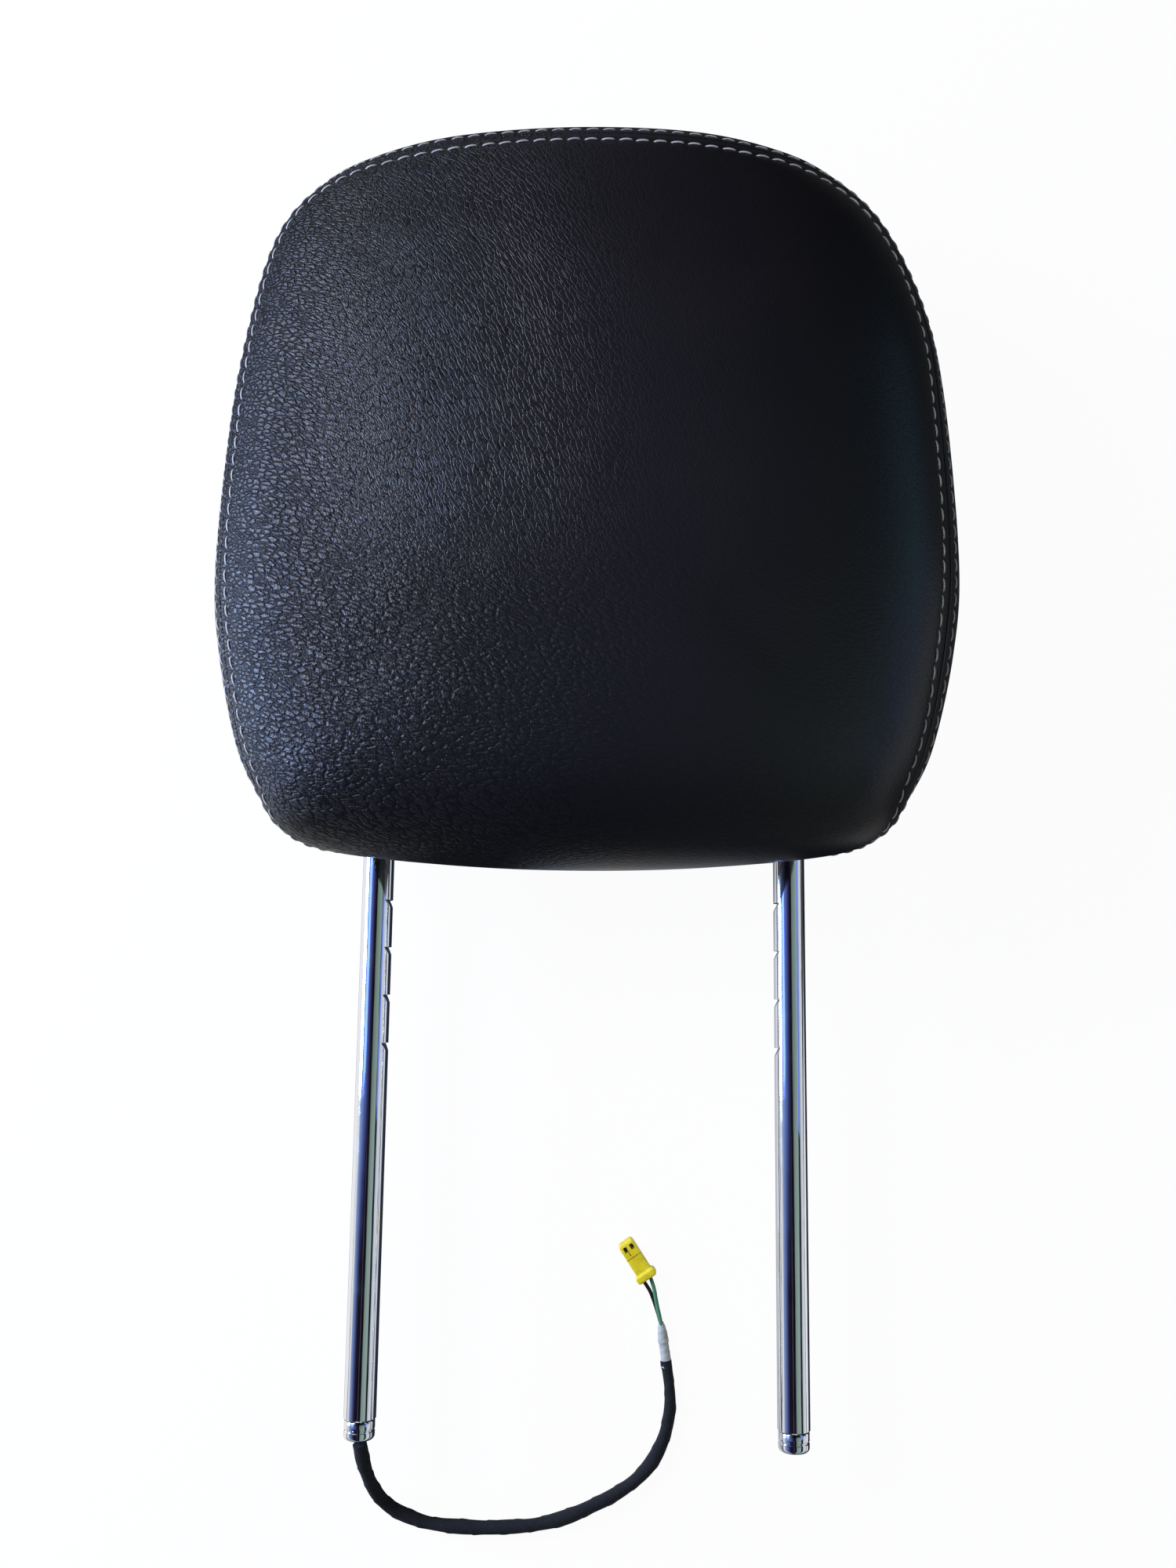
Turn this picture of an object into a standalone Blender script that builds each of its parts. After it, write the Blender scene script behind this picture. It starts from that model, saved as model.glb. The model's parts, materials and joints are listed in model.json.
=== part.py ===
"""Car headrest with a front cushion that springs forward, lying on its back.

Units are metres. +Z is up, out of the front face. +Y points to the top of the headrest, so the
posts point along -Y. The origin is on the floor, below the middle of the headrest.
"""

from math import atan2, cos, pi, radians, sin, sqrt, tau

import bmesh
import bpy
from mathutils import Matrix, Vector

# Clearances
GAP = 0.0003
RUNNING_FIT = 0.0001
WELD_DISTANCE = 0.000001

# Cushion
CUSHION_WIDTH = 0.274
CUSHION_HEIGHT = 0.289
CUSHION_DEPTH = 0.112
WIDEST_LEVEL = 0.076
PARTING_LEVEL = 0.046
PARTING_GAP = 0.0008
CROWN_POWER = 6.0
BACK_POWER = 3.2
BACK_FLATTENING = 1.04
OUTLINE_POINTS = 48
# Right half of the outline, from the top to the bottom, as shares of half the width and of the height
HALF_OUTLINE = (
    (0.0, 1.0), (0.38, 0.988), (0.617, 0.954), (0.755, 0.908), (0.858, 0.842), (0.928, 0.733),
    (0.976, 0.585), (1.0, 0.38), (0.978, 0.265), (0.92, 0.15), (0.856, 0.0886), (0.79, 0.045),
    (0.66, 0.02), (0.33, 0.0045), (0.0, 0.0),
)

# Cover, foam and shell
COVER_WALL = 0.002
HEM_WIDTH = 0.014
HEM_THICKNESS = 0.0029
SHELL_WALL = 0.003

# Posts
POST_DIAMETER = 0.012
POST_BORE = 0.007
POST_SPACING = 0.160
POST_LEVEL = 0.028
POST_REACH = 0.2075
POST_INSIDE = 0.206
POST_SIDES = 32
NOTCH_COUNT = 4
NOTCH_PITCH = 0.0183
NOTCH_FIRST = 0.0083
NOTCH_HEIGHT = 0.0032
NOTCH_DEPTH = 0.0019
END_LENGTH = 0.0072
END_DIAMETER = 0.0114
END_ROUNDING = 0.0018
SPIGOT_LENGTH = 0.006
COLLAR_DIAMETER = 0.019
COLLAR_START = 0.008
COLLAR_LENGTH = 0.040
COLLAR_CHAMFER = 0.0015

# Carrier plate and what is screwed to it
CARRIER_WIDTH = 0.186
CARRIER_LENGTH = 0.170
CARRIER_START = 0.051
CARRIER_THICKNESS = 0.003
CARRIER_CORNER = 0.016
BRIDGE_WIDTH = 0.018
BRIDGE_THICKNESS = 0.003
BRIDGE_LIP = 0.003
LOWER_BRIDGE = 0.078
UPPER_BRIDGE = 0.166
BRIDGE_SCREW_X = 0.060
SHELL_SCREWS = ((0.0, 0.060), (-0.036, 0.191), (0.036, 0.191))
SHELL_SCREW_SEAT = 0.008
SHELL_BOSS_TOP = 0.020
SCREW_SHANK = 0.004
SCREW_HEAD = 0.008
SCREW_HEAD_HEIGHT = 0.003
SCREW_LENGTH = 0.013
SCREW_RECESS = 0.0036
BOSS_DIAMETER = 0.010
SHELL_BOSS_DIAMETER = 0.014

# Guides
ROD_DIAMETER = 0.008
ROD_X = 0.058
ROD_ROWS = (0.101, 0.187)
ROD_BOTTOM = 0.008
ROD_HEAD_DIAMETER = 0.012
ROD_HEAD_HEIGHT = 0.002
RIVET_NECK = 0.006
BUSH_DIAMETER = 0.012
BUSH_FLANGE = 0.016
BUSH_FLANGE_THICKNESS = 0.0015
BUSH_BOTTOM = 0.037
BUSH_BOSS_DIAMETER = 0.0165
BUSH_BOSS_TOP = 0.046
CLIP_DIAMETER = 0.0114
CLIP_THICKNESS = 0.0012
CLIP_LEVEL = 0.0086

# Impact plate
PLATE_LEVEL = 0.050
PLATE_THICKNESS = 0.003
PLATE_RIM_HEIGHT = 0.0027
PLATE_RIM_WIDTH = 0.005

# Drive springs
SPRING_ROWS = (0.105, 0.201)
SPRING_DIAMETER = 0.0178
SPRING_WIRE = 0.0018
SPRING_TURNS = 6
WELL_BORE = 0.021
WELL_WALL = 0.002
WELL_FLOOR = 0.006
WELL_TOP = 0.0385

# Latch, in a plane below the carrier plate
LATCH_ROW = 0.144
LEVER_LEVEL = 0.0223
LEVER_THICKNESS = 0.003
PIVOT_X = 0.022
PUSH_ARM = 0.014
PIVOT_PIN = 0.006
PIVOT_HEAD = 0.010
PIVOT_COLLAR = 0.009
NECK_DIAMETER = 0.006
STRIKER_HEAD_DIAMETER = 0.0096
STRIKER_CONE = 0.006
STRIKER_FOOT = 0.002
STRIKER_NECK = 0.008
STRIKER_SHANK = 0.008
STRIKER_HOLE = 0.014
LATCH_SPRING_WIRE = 0.0008
LATCH_SPRING_TURNS = 3

# Solenoid, which pushes the lever's arm along +Y
COIL_DIAMETER = 0.015
COIL_LENGTH = 0.024
COIL_BORE = 0.0068
FRAME_SHEET = 0.002
FRAME_WIDTH = 0.018
FRAME_WING = 0.028
NOSE_GAP = 0.0003
PLUNGER_DIAMETER = 0.006
PLUNGER_NOSE = 0.0044
PLUNGER_NOSE_LENGTH = 0.006
PLUNGER_OUTSIDE = 0.0135
PLUNGER_INSIDE = 0.020
RIVET_SHANK = 0.0032
RIVET_HEAD = 0.006
RIVET_HEAD_HEIGHT = 0.0012
RIVET_REACH = 0.0115
PLUG_SIZE = (0.009, 0.009, 0.007)
PLUG_X = 0.0105

# Inner lead: points as (distance from a centre line, row above the cushion's bottom edge)
LEAD_DIAMETER = 0.0044
LEAD_LEVEL = 0.0285
LEAD_FROM_POST = (
    (0.0, 0.19075), (0.0, 0.20875), (0.0035, 0.21875), (0.0120, 0.22475), (0.0260, 0.22675),
)
LEAD_TO_PLUG = (
    (-0.0665, 0.22675), (-0.0345, 0.22675), (-0.0185, 0.22275), (-0.0075, 0.21175),
    (-0.0020, 0.19575), (0.0, 0.17575),
)
LEAD_END_RUN = 0.012
CLIP_FROM_PLUG = 0.0705
CLIP_ROW = 0.22675
CLIP_ARM = 0.009
CLIP_FOOT = 0.008
CLIP_WIDTH = 0.010
CLIP_SHEET = 0.0015

# Loom outside the post, in the order in which it runs
LOOM_DIAMETER = 0.0052
LOOM_ROUTE = (
    (-0.0797, -0.2500, 0.0276), (-0.0789, -0.2570, 0.0246), (-0.0777, -0.2664, 0.0165),
    (-0.0750, -0.2746, 0.0090), (-0.0695, -0.2806, 0.0046), (-0.0600, -0.2846, 0.0030),
    (-0.0510, -0.2860, 0.0028), (-0.0380, -0.2864, 0.0028), (-0.0285, -0.2860, 0.0028),
    (-0.0164, -0.2848, 0.0028), (-0.0046, -0.2818, 0.0028), (0.0052, -0.2776, 0.0028),
    (0.0146, -0.2728, 0.0028), (0.0232, -0.2666, 0.0028), (0.0292, -0.2594, 0.0028),
    (0.0330, -0.2512, 0.0028), (0.0348, -0.2432, 0.0028), (0.0350, -0.2362, 0.0028),
    (0.0342, -0.2294, 0.0028), (0.0334, -0.2239, 0.0028),
)
SLEEVE_DIAMETER = 0.0042
SLEEVE_END = (0.0317, -0.2103)
WIRE_DIAMETER = 0.0014
WIRE_START_OFFSET = 0.0009
WIRE_END_OFFSET = 0.0015
WIRE_MIDDLE = (0.0293, -0.2020)
CONNECTOR_REAR = (0.0262, -0.1950)
CONNECTOR_TIP = (0.0168, -0.1794)
CONNECTOR_WIDTH = 0.0066
CONNECTOR_HEIGHT = 0.0050
FLANGE_WIDTH = 0.0086
FLANGE_HEIGHT = 0.0062
FLANGE_LENGTH = 0.0024
CAVITY_SIZE = 0.0024
CAVITY_PITCH = 0.0031
WINDOW_START = 0.0110
WINDOW_LENGTH = 0.0034
GROOVE_AT = 0.0092
GROOVE_WIDTH = 0.0007
GROOVE_DEPTH = 0.0005
TERMINAL_THICKNESS = 0.0014
CORD_SIDES = 2

# Values that follow from those above
HALF_WIDTH = CUSHION_WIDTH / 2
TOTAL_LENGTH = CUSHION_HEIGHT + POST_REACH
TOP_Y = TOTAL_LENGTH / 2
BOTTOM_Y = TOP_Y - CUSHION_HEIGHT
FOOT_Y = -TOTAL_LENGTH / 2
MIDDLE_Y = TOP_Y - CUSHION_HEIGHT / 2
POST_RADIUS = POST_DIAMETER / 2
POST_X = POST_SPACING / 2
POST_TOP_Y = BOTTOM_Y + POST_INSIDE
POST_FOOT_Y = FOOT_Y + END_LENGTH
CARRIER_LEVEL = POST_LEVEL + POST_RADIUS + GAP
CARRIER_TOP = CARRIER_LEVEL + CARRIER_THICKNESS
BRIDGE_TOP = POST_LEVEL - POST_RADIUS - GAP
BRIDGE_LEVEL = BRIDGE_TOP - BRIDGE_THICKNESS
PLATE_TOP = PLATE_LEVEL + PLATE_THICKNESS
FOAM_LEVEL = PLATE_TOP + PLATE_RIM_HEIGHT + GAP
LATCH_Y = BOTTOM_Y + LATCH_ROW
LEVER_TOP = LEVER_LEVEL + LEVER_THICKNESS
SOLENOID_X = PIVOT_X + PUSH_ARM
PLUG_LINE_X = SOLENOID_X + PLUG_X
SOLENOID_LEVEL = LEVER_LEVEL + LEVER_THICKNESS / 2
ARM_HALF_WIDTH = 0.003
NOSE_Y = LATCH_Y - ARM_HALF_WIDTH - NOSE_GAP
FRAME_END_Y = NOSE_Y - PLUNGER_OUTSIDE
COIL_END_Y = FRAME_END_Y - FRAME_SHEET - GAP
COIL_START_Y = COIL_END_Y - COIL_LENGTH
FRAME_START_Y = COIL_START_Y - GAP - FRAME_SHEET
COLLAR_Y = BOTTOM_Y + COLLAR_START

scene = bpy.context.scene


def clear_scene():
    """Remove the objects that the scene starts with."""
    for old in list(bpy.data.objects):
        bpy.data.objects.remove(old, do_unlink=True)


def material(name, colour, roughness, metallic=0.0):
    """A Principled material of one colour."""
    made = bpy.data.materials.new(name)
    made.use_nodes = True
    shader = made.node_tree.nodes["Principled BSDF"]
    shader.inputs["Base Color"].default_value = (*colour, 1.0)
    shader.inputs["Roughness"].default_value = roughness
    shader.inputs["Metallic"].default_value = metallic
    made.diffuse_color = (*colour, 1.0)
    return made


def place(name, mesh, finish, location=(0, 0, 0), rotation=(0, 0, 0), smooth=True):
    """Put a mesh in the scene as one named object with one material."""
    if smooth:
        mesh.shade_smooth()
        mesh.set_sharp_from_angle(angle=radians(35))
    mesh.materials.append(finish)
    made = bpy.data.objects.new(name, mesh)
    made.location = location
    made.rotation_euler = rotation
    scene.collection.objects.link(made)
    return made


def mesh_from(work, name):
    """Turn a bmesh into a mesh with its faces pointing out."""
    bmesh.ops.recalc_face_normals(work, faces=work.faces)
    made = bpy.data.meshes.new(name)
    work.to_mesh(made)
    work.free()
    return made


def loft(rings, ring_shaped=False):
    """Draw a ring of points out through others, and cap both ends or join the last to the first."""
    work = bmesh.new()
    corners = [work.verts.new(point) for point in rings[0]]
    edges = [work.edges.new(pair) for pair in zip(corners, corners[1:] + corners[:1])]
    if not ring_shaped:
        work.faces.new(corners)
    for ring in [*rings[1:], rings[0]] if ring_shaped else rings[1:]:
        drawn = set(bmesh.ops.extrude_edge_only(work, edges=edges)["geom"])
        corners = [
            next(edge.other_vert(old) for edge in old.link_edges if edge.other_vert(old) in drawn)
            for old in corners
        ]
        for corner, point in zip(corners, ring):
            corner.co = point
        edges = [work.edges.get(pair) for pair in zip(corners, corners[1:] + corners[:1])]
    if ring_shaped:
        bmesh.ops.remove_doubles(work, verts=work.verts, dist=WELD_DISTANCE)
    else:
        work.faces.new(corners)
    return work


def circle(radius, level, sides, x=0.0, y=0.0):
    """Points of a level circle, with flats facing the axes."""
    steps = [tau * (step + 0.5) / sides for step in range(sides)]
    return [(x + radius * cos(turn), y + radius * sin(turn), level) for turn in steps]


def turned(name, profile, finish, location, sides=24, bored=False, rotation=(0, 0, 0)):
    """A turned piece from (diameter, level) pairs. A bored profile runs once round its section."""
    rings = [circle(diameter / 2, level, sides) for diameter, level in profile]
    mesh = mesh_from(loft(rings, ring_shaped=bored), name)
    return place(name, mesh, finish, location, rotation)


def cylinder(work, diameter, bottom, top, x, y, sides=16):
    """Add an upright cylinder to a bmesh."""
    matrix = Matrix.Translation((x, y, (bottom + top) / 2))
    bmesh.ops.create_cone(
        work, cap_ends=True, segments=sides, radius1=diameter / 2, radius2=diameter / 2,
        depth=top - bottom, matrix=matrix @ Matrix.Rotation(pi / sides, 4, "Z"),
    )


def box(work, low, high):
    """Add a box between two corners to a bmesh."""
    size = Vector(high) - Vector(low)
    middle = (Vector(high) + Vector(low)) / 2
    matrix = Matrix.Translation(middle) @ Matrix.Diagonal((*size, 1.0))
    bmesh.ops.create_cube(work, size=1.0, matrix=matrix)


def plate(outline, bottom, top):
    """A flat piece with the given outline, between two levels."""
    return loft([[(x, y, bottom) for x, y in outline], [(x, y, top) for x, y in outline]])


def guide_piece(name, work):
    """An object that only shapes others."""
    mesh = mesh_from(work, name)
    made = bpy.data.objects.new(name, mesh)
    made.hide_render = True
    made.display_type = "WIRE"
    scene.collection.objects.link(made)
    return made


def combine(target, work, operation, name):
    """Add or take away a bmesh's shapes from an object."""
    modifier = target.modifiers.new(name, "BOOLEAN")
    modifier.operation = operation
    modifier.solver = "EXACT"
    modifier.object = guide_piece(f"{target.name}_{name}", work)


def smooth_curve(points, closed=False):
    """Close-set points of a smooth curve through the given ones."""
    route = [Vector(point) for point in points]
    if closed:
        ends = [route[-1], *route, route[0], route[1]]
    else:
        ends = [2 * route[0] - route[1], *route, 2 * route[-1] - route[-2]]
    dense = []
    fineness = 24
    for before, start, end, after in zip(ends, ends[1:], ends[2:], ends[3:]):
        for step in range(fineness):
            t = step / fineness
            dense.append(0.5 * (
                2 * start + (end - before) * t
                + (2 * before - 5 * start + 4 * end - after) * t**2
                + (3 * start - before - 3 * end + after) * t**3
            ))
    dense.append(ends[-2])
    return dense


def spread(curve, count=None, spacing=None):
    """Even points along a curve, either so many steps or about so far apart."""
    lengths = [0.0]
    for first, second in zip(curve, curve[1:]):
        lengths.append(lengths[-1] + (second - first).length)
    count = count or max(2, round(lengths[-1] / spacing))
    even = []
    index = 0
    for step in range(count):
        wanted = lengths[-1] * step / count
        while lengths[index + 1] < wanted:
            index += 1
        share = (wanted - lengths[index]) / (lengths[index + 1] - lengths[index])
        even.append(curve[index].lerp(curve[index + 1], share))
    return [*even, curve[-1]]


def smooth_route(points, spacing):
    """Points read at even steps from a smooth curve through the given ones."""
    return spread(smooth_curve(points), spacing=spacing)


def tube(name, points, diameter, finish, resolution=CORD_SIDES):
    """A round cord or wire along a list of points, with closed ends."""
    curve = bpy.data.curves.new(name, "CURVE")
    curve.dimensions = "3D"
    curve.bevel_depth = diameter / 2
    curve.bevel_resolution = resolution
    curve.use_fill_caps = True
    line = curve.splines.new("POLY")
    line.points.add(len(points) - 1)
    for target, point in zip(line.points, points):
        target.co = (*point, 1.0)
    curve.materials.append(finish)
    made = bpy.data.objects.new(name, curve)
    scene.collection.objects.link(made)
    return made


def cushion_outline():
    """Even points round the widest section, as shares of half the width and half the height."""
    right = [(x * HALF_WIDTH, (y - 0.5) * CUSHION_HEIGHT, 0.0) for x, y in HALF_OUTLINE]
    left = [(-x, y, z) for x, y, z in reversed(right[1:-1])]
    around = spread(smooth_curve(right + left, closed=True), count=OUTLINE_POINTS)[:-1]
    return [(point.x / HALF_WIDTH, 2 * point.y / CUSHION_HEIGHT) for point in around]


def ring(inset, level, outline):
    """The cushion's outline, drawn in by an inset, at a level."""
    across = HALF_WIDTH - inset
    along = CUSHION_HEIGHT / 2 - inset
    return [(x * across, MIDDLE_Y + y * along, level) for x, y in outline]


def crown_profile():
    """(inset, level) pairs over the front face, from the widest section to the middle."""
    shares = (1.0, 0.996, 0.984, 0.958, 0.915, 0.84, 0.72, 0.52, 0.25)
    rise = CUSHION_DEPTH - WIDEST_LEVEL
    return [(HALF_WIDTH * (1 - s), WIDEST_LEVEL + rise * sqrt(1 - s**CROWN_POWER)) for s in shares]


def back_inset(level):
    """How far the cushion is drawn in at a level behind the widest section."""
    fall = (WIDEST_LEVEL - level) / (WIDEST_LEVEL * BACK_FLATTENING)
    return HALF_WIDTH * (1 - (1 - fall**2) ** (1 / BACK_POWER))


def back_profile(start, end, steps):
    """(inset, level) pairs between two levels behind the widest section."""
    levels = [start + (end - start) * step / steps for step in range(steps + 1)]
    return [(back_inset(level), level) for level in levels]


def drawn_in(profile, distance):
    """A profile moved inwards by a distance, square to itself. Its ends stay on their levels."""
    moved = []
    last = len(profile) - 1
    for number, (inset, level) in enumerate(profile):
        ahead = profile[min(number + 1, last)]
        behind = profile[max(number - 1, 0)]
        slope = Vector((ahead[0] - behind[0], ahead[1] - behind[1])).normalized()
        if number == last:
            slope = Vector((1.0, 0.0))
        sign = -1 if profile[-1][1] > profile[0][1] else 1
        if number == 0:
            slope = Vector((0.0, -sign))
        moved.append((inset - sign * slope.y * distance, level + sign * slope.x * distance))
    return moved


def front_profile():
    """The front unit's outer profile, from the parting to the middle of the front face."""
    below = back_profile(PARTING_LEVEL + PARTING_GAP, WIDEST_LEVEL, 3)
    return below[:-1] + crown_profile()


def level_cut(profile, level):
    """The part of a rising profile above a level, with a point on that level."""
    for (inset, low), (next_inset, high) in zip(profile, profile[1:]):
        if low <= level < high:
            share = (level - low) / (high - low)
            start = (inset + (next_inset - inset) * share, level)
            return [start] + [point for point in profile if point[1] > level + GAP]
    return profile


def make_front_cover(finish, outline):
    """The sewn cover, with a hem that turns in under the impact plate."""
    outer = front_profile()
    hem_level = outer[0][1] + HEM_THICKNESS
    inner = level_cut(drawn_in(outer, COVER_WALL), hem_level)
    lip = outer[0][0] + HEM_WIDTH
    profile = outer[::-1] + [(lip, outer[0][1]), (lip, hem_level)] + inner
    rings = [ring(inset, level, outline) for inset, level in profile]
    place("front_cover", mesh_from(loft(rings), "front_cover"), finish)


def make_front_foam(finish, outline):
    """The foam pad on the impact plate."""
    profile = level_cut(drawn_in(front_profile(), COVER_WALL + GAP), FOAM_LEVEL)
    rings = [ring(inset, level, outline) for inset, level in profile]
    place("front_foam", mesh_from(loft(rings), "front_foam"), finish)


def plate_inset():
    """The inset at which the impact plate just fits into the cover."""
    inner = drawn_in(front_profile(), COVER_WALL + GAP)
    return level_cut(inner, PLATE_LEVEL)[0][0]


def make_impact_plate(finish, outline):
    """The moving plate: a flat sheet with a raised rim that carries the foam."""
    edge = plate_inset()
    middle = HALF_WIDTH * 0.9
    rim = edge + PLATE_RIM_WIDTH
    profile = [
        (middle, PLATE_LEVEL), (edge, PLATE_LEVEL), (edge, PLATE_TOP + PLATE_RIM_HEIGHT),
        (rim, PLATE_TOP + PLATE_RIM_HEIGHT), (rim, PLATE_TOP), (middle, PLATE_TOP),
    ]
    rings = [ring(inset, level, outline) for inset, level in profile]
    made = place("impact_plate", mesh_from(loft(rings), "impact_plate"), finish)
    holes = bmesh.new()
    through = (PLATE_LEVEL - PLATE_THICKNESS, PLATE_TOP + PLATE_THICKNESS)
    for x, y in [*rod_places(), (0.0, LATCH_Y)]:
        cylinder(holes, RIVET_NECK + 2 * GAP, *through, x, y, sides=16)
    combine(made, holes, "DIFFERENCE", "holes")


def make_rear_shell(finish, outline):
    """The moulded back shell, with its post openings and screw bosses."""
    outer = back_profile(PARTING_LEVEL, 0.0, 7)
    inner = drawn_in(outer, SHELL_WALL)
    rings = [ring(inset, level, outline) for inset, level in outer[::-1] + inner]
    made = place("rear_shell", mesh_from(loft(rings), "rear_shell"), finish)
    bosses = bmesh.new()
    recesses = bmesh.new()
    for x, y in shell_screw_places():
        cylinder(bosses, SHELL_BOSS_DIAMETER, SHELL_WALL * 0.9, SHELL_BOSS_TOP, x, y)
        cylinder(recesses, SCREW_HEAD + SCREW_RECESS / 2, -SHELL_WALL, SHELL_SCREW_SEAT, x, y)
    combine(made, bosses, "UNION", "bosses")
    combine(made, recesses, "DIFFERENCE", "recesses")
    holes = bmesh.new()
    for x, y in shell_screw_places():
        cylinder(holes, SCREW_SHANK + 2 * GAP, SHELL_SCREW_SEAT / 2, SHELL_BOSS_TOP * 2, x, y, 16)
    combine(made, holes, "DIFFERENCE", "screw_holes")
    openings = bmesh.new()
    for side in (-1, 1):
        lying_cylinder(openings, COLLAR_DIAMETER + 2 * GAP, COLLAR_Y - COLLAR_LENGTH / 2,
                       COLLAR_Y + 1.5 * COLLAR_LENGTH, side * POST_X, POST_LEVEL)
    combine(made, openings, "DIFFERENCE", "post_openings")


def lying_cylinder(work, diameter, start, end, x, level, sides=24):
    """Add a cylinder along Y to a bmesh."""
    turn = Matrix.Rotation(-pi / 2, 4, "X") @ Matrix.Rotation(pi / sides, 4, "Z")
    matrix = Matrix.Translation((x, (start + end) / 2, level)) @ turn
    bmesh.ops.create_cone(work, cap_ends=True, segments=sides, radius1=diameter / 2,
                          radius2=diameter / 2, depth=end - start, matrix=matrix)


def along_y(name, profile, finish, x, level, sides=24, bored=False):
    """A turned piece lying along Y, from (diameter, y) pairs."""
    return turned(name, profile, finish, (x, 0, level), sides, bored, rotation=(-pi / 2, 0, 0))


def make_post(name, side, finish):
    """A tube with four notches on the side that faces the other post."""
    profile = [(POST_DIAMETER, POST_FOOT_Y), (POST_DIAMETER, POST_TOP_Y),
               (POST_BORE, POST_TOP_Y), (POST_BORE, POST_FOOT_Y)]
    made = along_y(name, profile, finish, side * POST_X, POST_LEVEL, POST_SIDES, bored=True)
    notches = bmesh.new()
    bare_top = BOTTOM_Y - NOTCH_FIRST
    inner_side = side * (POST_X - POST_RADIUS)
    for number in range(NOTCH_COUNT):
        top = bare_top - number * NOTCH_PITCH
        outline = [(inner_side - side * NOTCH_DEPTH, top), (inner_side + side * NOTCH_DEPTH, top),
                   (inner_side - side * NOTCH_DEPTH, top - 2 * NOTCH_HEIGHT)]
        wedge = plate(outline, POST_LEVEL - POST_RADIUS, POST_LEVEL + POST_RADIUS)
        spare = mesh_from(wedge, "wedge")
        notches.from_mesh(spare)
        bpy.data.meshes.remove(spare)
    combine(made, notches, "DIFFERENCE", "notches")


def make_post_ends(finish):
    """The cable ring in the left post and the closed plug in the right one."""
    seat = POST_FOOT_Y - GAP
    spigot = POST_BORE - 2 * GAP
    top = POST_FOOT_Y + SPIGOT_LENGTH
    narrow = END_DIAMETER - END_ROUNDING
    bore = LOOM_DIAMETER + 2 * GAP
    outside = [(narrow, FOOT_Y), (END_DIAMETER - END_ROUNDING * 0.3, FOOT_Y + END_ROUNDING * 0.3),
               (END_DIAMETER, FOOT_Y + END_ROUNDING), (END_DIAMETER, seat), (spigot, seat),
               (spigot, top)]
    along_y("left_end_ring", [*outside, (bore, top), (bore, FOOT_Y)], finish, -POST_X, POST_LEVEL,
            POST_SIDES, bored=True)
    along_y("right_end_plug", outside, finish, POST_X, POST_LEVEL, POST_SIDES)


def make_collars(finish):
    """The sockets in which the posts enter the shell."""
    bore = POST_DIAMETER + 2 * GAP
    end = COLLAR_Y + COLLAR_LENGTH
    profile = [(bore, COLLAR_Y), (COLLAR_DIAMETER - 2 * COLLAR_CHAMFER, COLLAR_Y),
               (COLLAR_DIAMETER, COLLAR_Y + COLLAR_CHAMFER), (COLLAR_DIAMETER, end), (bore, end)]
    for name, side in (("left_collar", -1), ("right_collar", 1)):
        along_y(name, profile, finish, side * POST_X, POST_LEVEL, bored=True)


def rod_places():
    """Where the four guide rods stand."""
    return [(side * ROD_X, BOTTOM_Y + row) for row in ROD_ROWS for side in (-1, 1)]


def shell_screw_places():
    """Where the screws through the shell stand."""
    return [(x, BOTTOM_Y + row) for x, row in SHELL_SCREWS]


def bridge_screw_places():
    """Where the four screws through the bridges stand."""
    rows = (LOWER_BRIDGE, UPPER_BRIDGE)
    return [(side * BRIDGE_SCREW_X, BOTTOM_Y + row) for row in rows for side in (-1, 1)]


def make_carrier(finish):
    """The plate on the posts, with bush bosses, spring wells and screw bosses."""
    low = (-CARRIER_WIDTH / 2, BOTTOM_Y + CARRIER_START, CARRIER_LEVEL)
    high = (CARRIER_WIDTH / 2, BOTTOM_Y + CARRIER_START + CARRIER_LENGTH, CARRIER_TOP)
    work = bmesh.new()
    box(work, low, high)
    upright = [e for e in work.edges if abs(e.verts[0].co.z - e.verts[1].co.z) > GAP]
    bmesh.ops.bevel(work, geom=upright, offset=CARRIER_CORNER, segments=4, profile=0.5,
                    affect="EDGES")
    made = place("carrier_plate", mesh_from(work, "carrier_plate"), finish)
    middle = (CARRIER_LEVEL + CARRIER_TOP) / 2
    for number, (x, y) in enumerate(rod_places(), 1):
        add_boss(made, f"bush_boss_{number}", BUSH_BOSS_DIAMETER, middle, BUSH_BOSS_TOP, x, y)
    for number, row in enumerate(SPRING_ROWS, 1):
        add_boss(made, f"well_{number}", WELL_BORE + 2 * WELL_WALL, WELL_FLOOR, WELL_TOP,
                 0.0, BOTTOM_Y + row)
    for number, (x, y) in enumerate(bridge_screw_places(), 1):
        add_boss(made, f"bridge_boss_{number}", BOSS_DIAMETER, BRIDGE_TOP + GAP, middle, x, y)
    for number, (x, y) in enumerate(shell_screw_places(), 1):
        add_boss(made, f"shell_boss_{number}", BOSS_DIAMETER, SHELL_BOSS_TOP + GAP, middle, x, y)
    cut_carrier(made)


def add_boss(target, name, diameter, bottom, top, x, y):
    """Join one upright boss to an object."""
    work = bmesh.new()
    cylinder(work, diameter, bottom, top, x, y)
    combine(target, work, "UNION", name)


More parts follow.
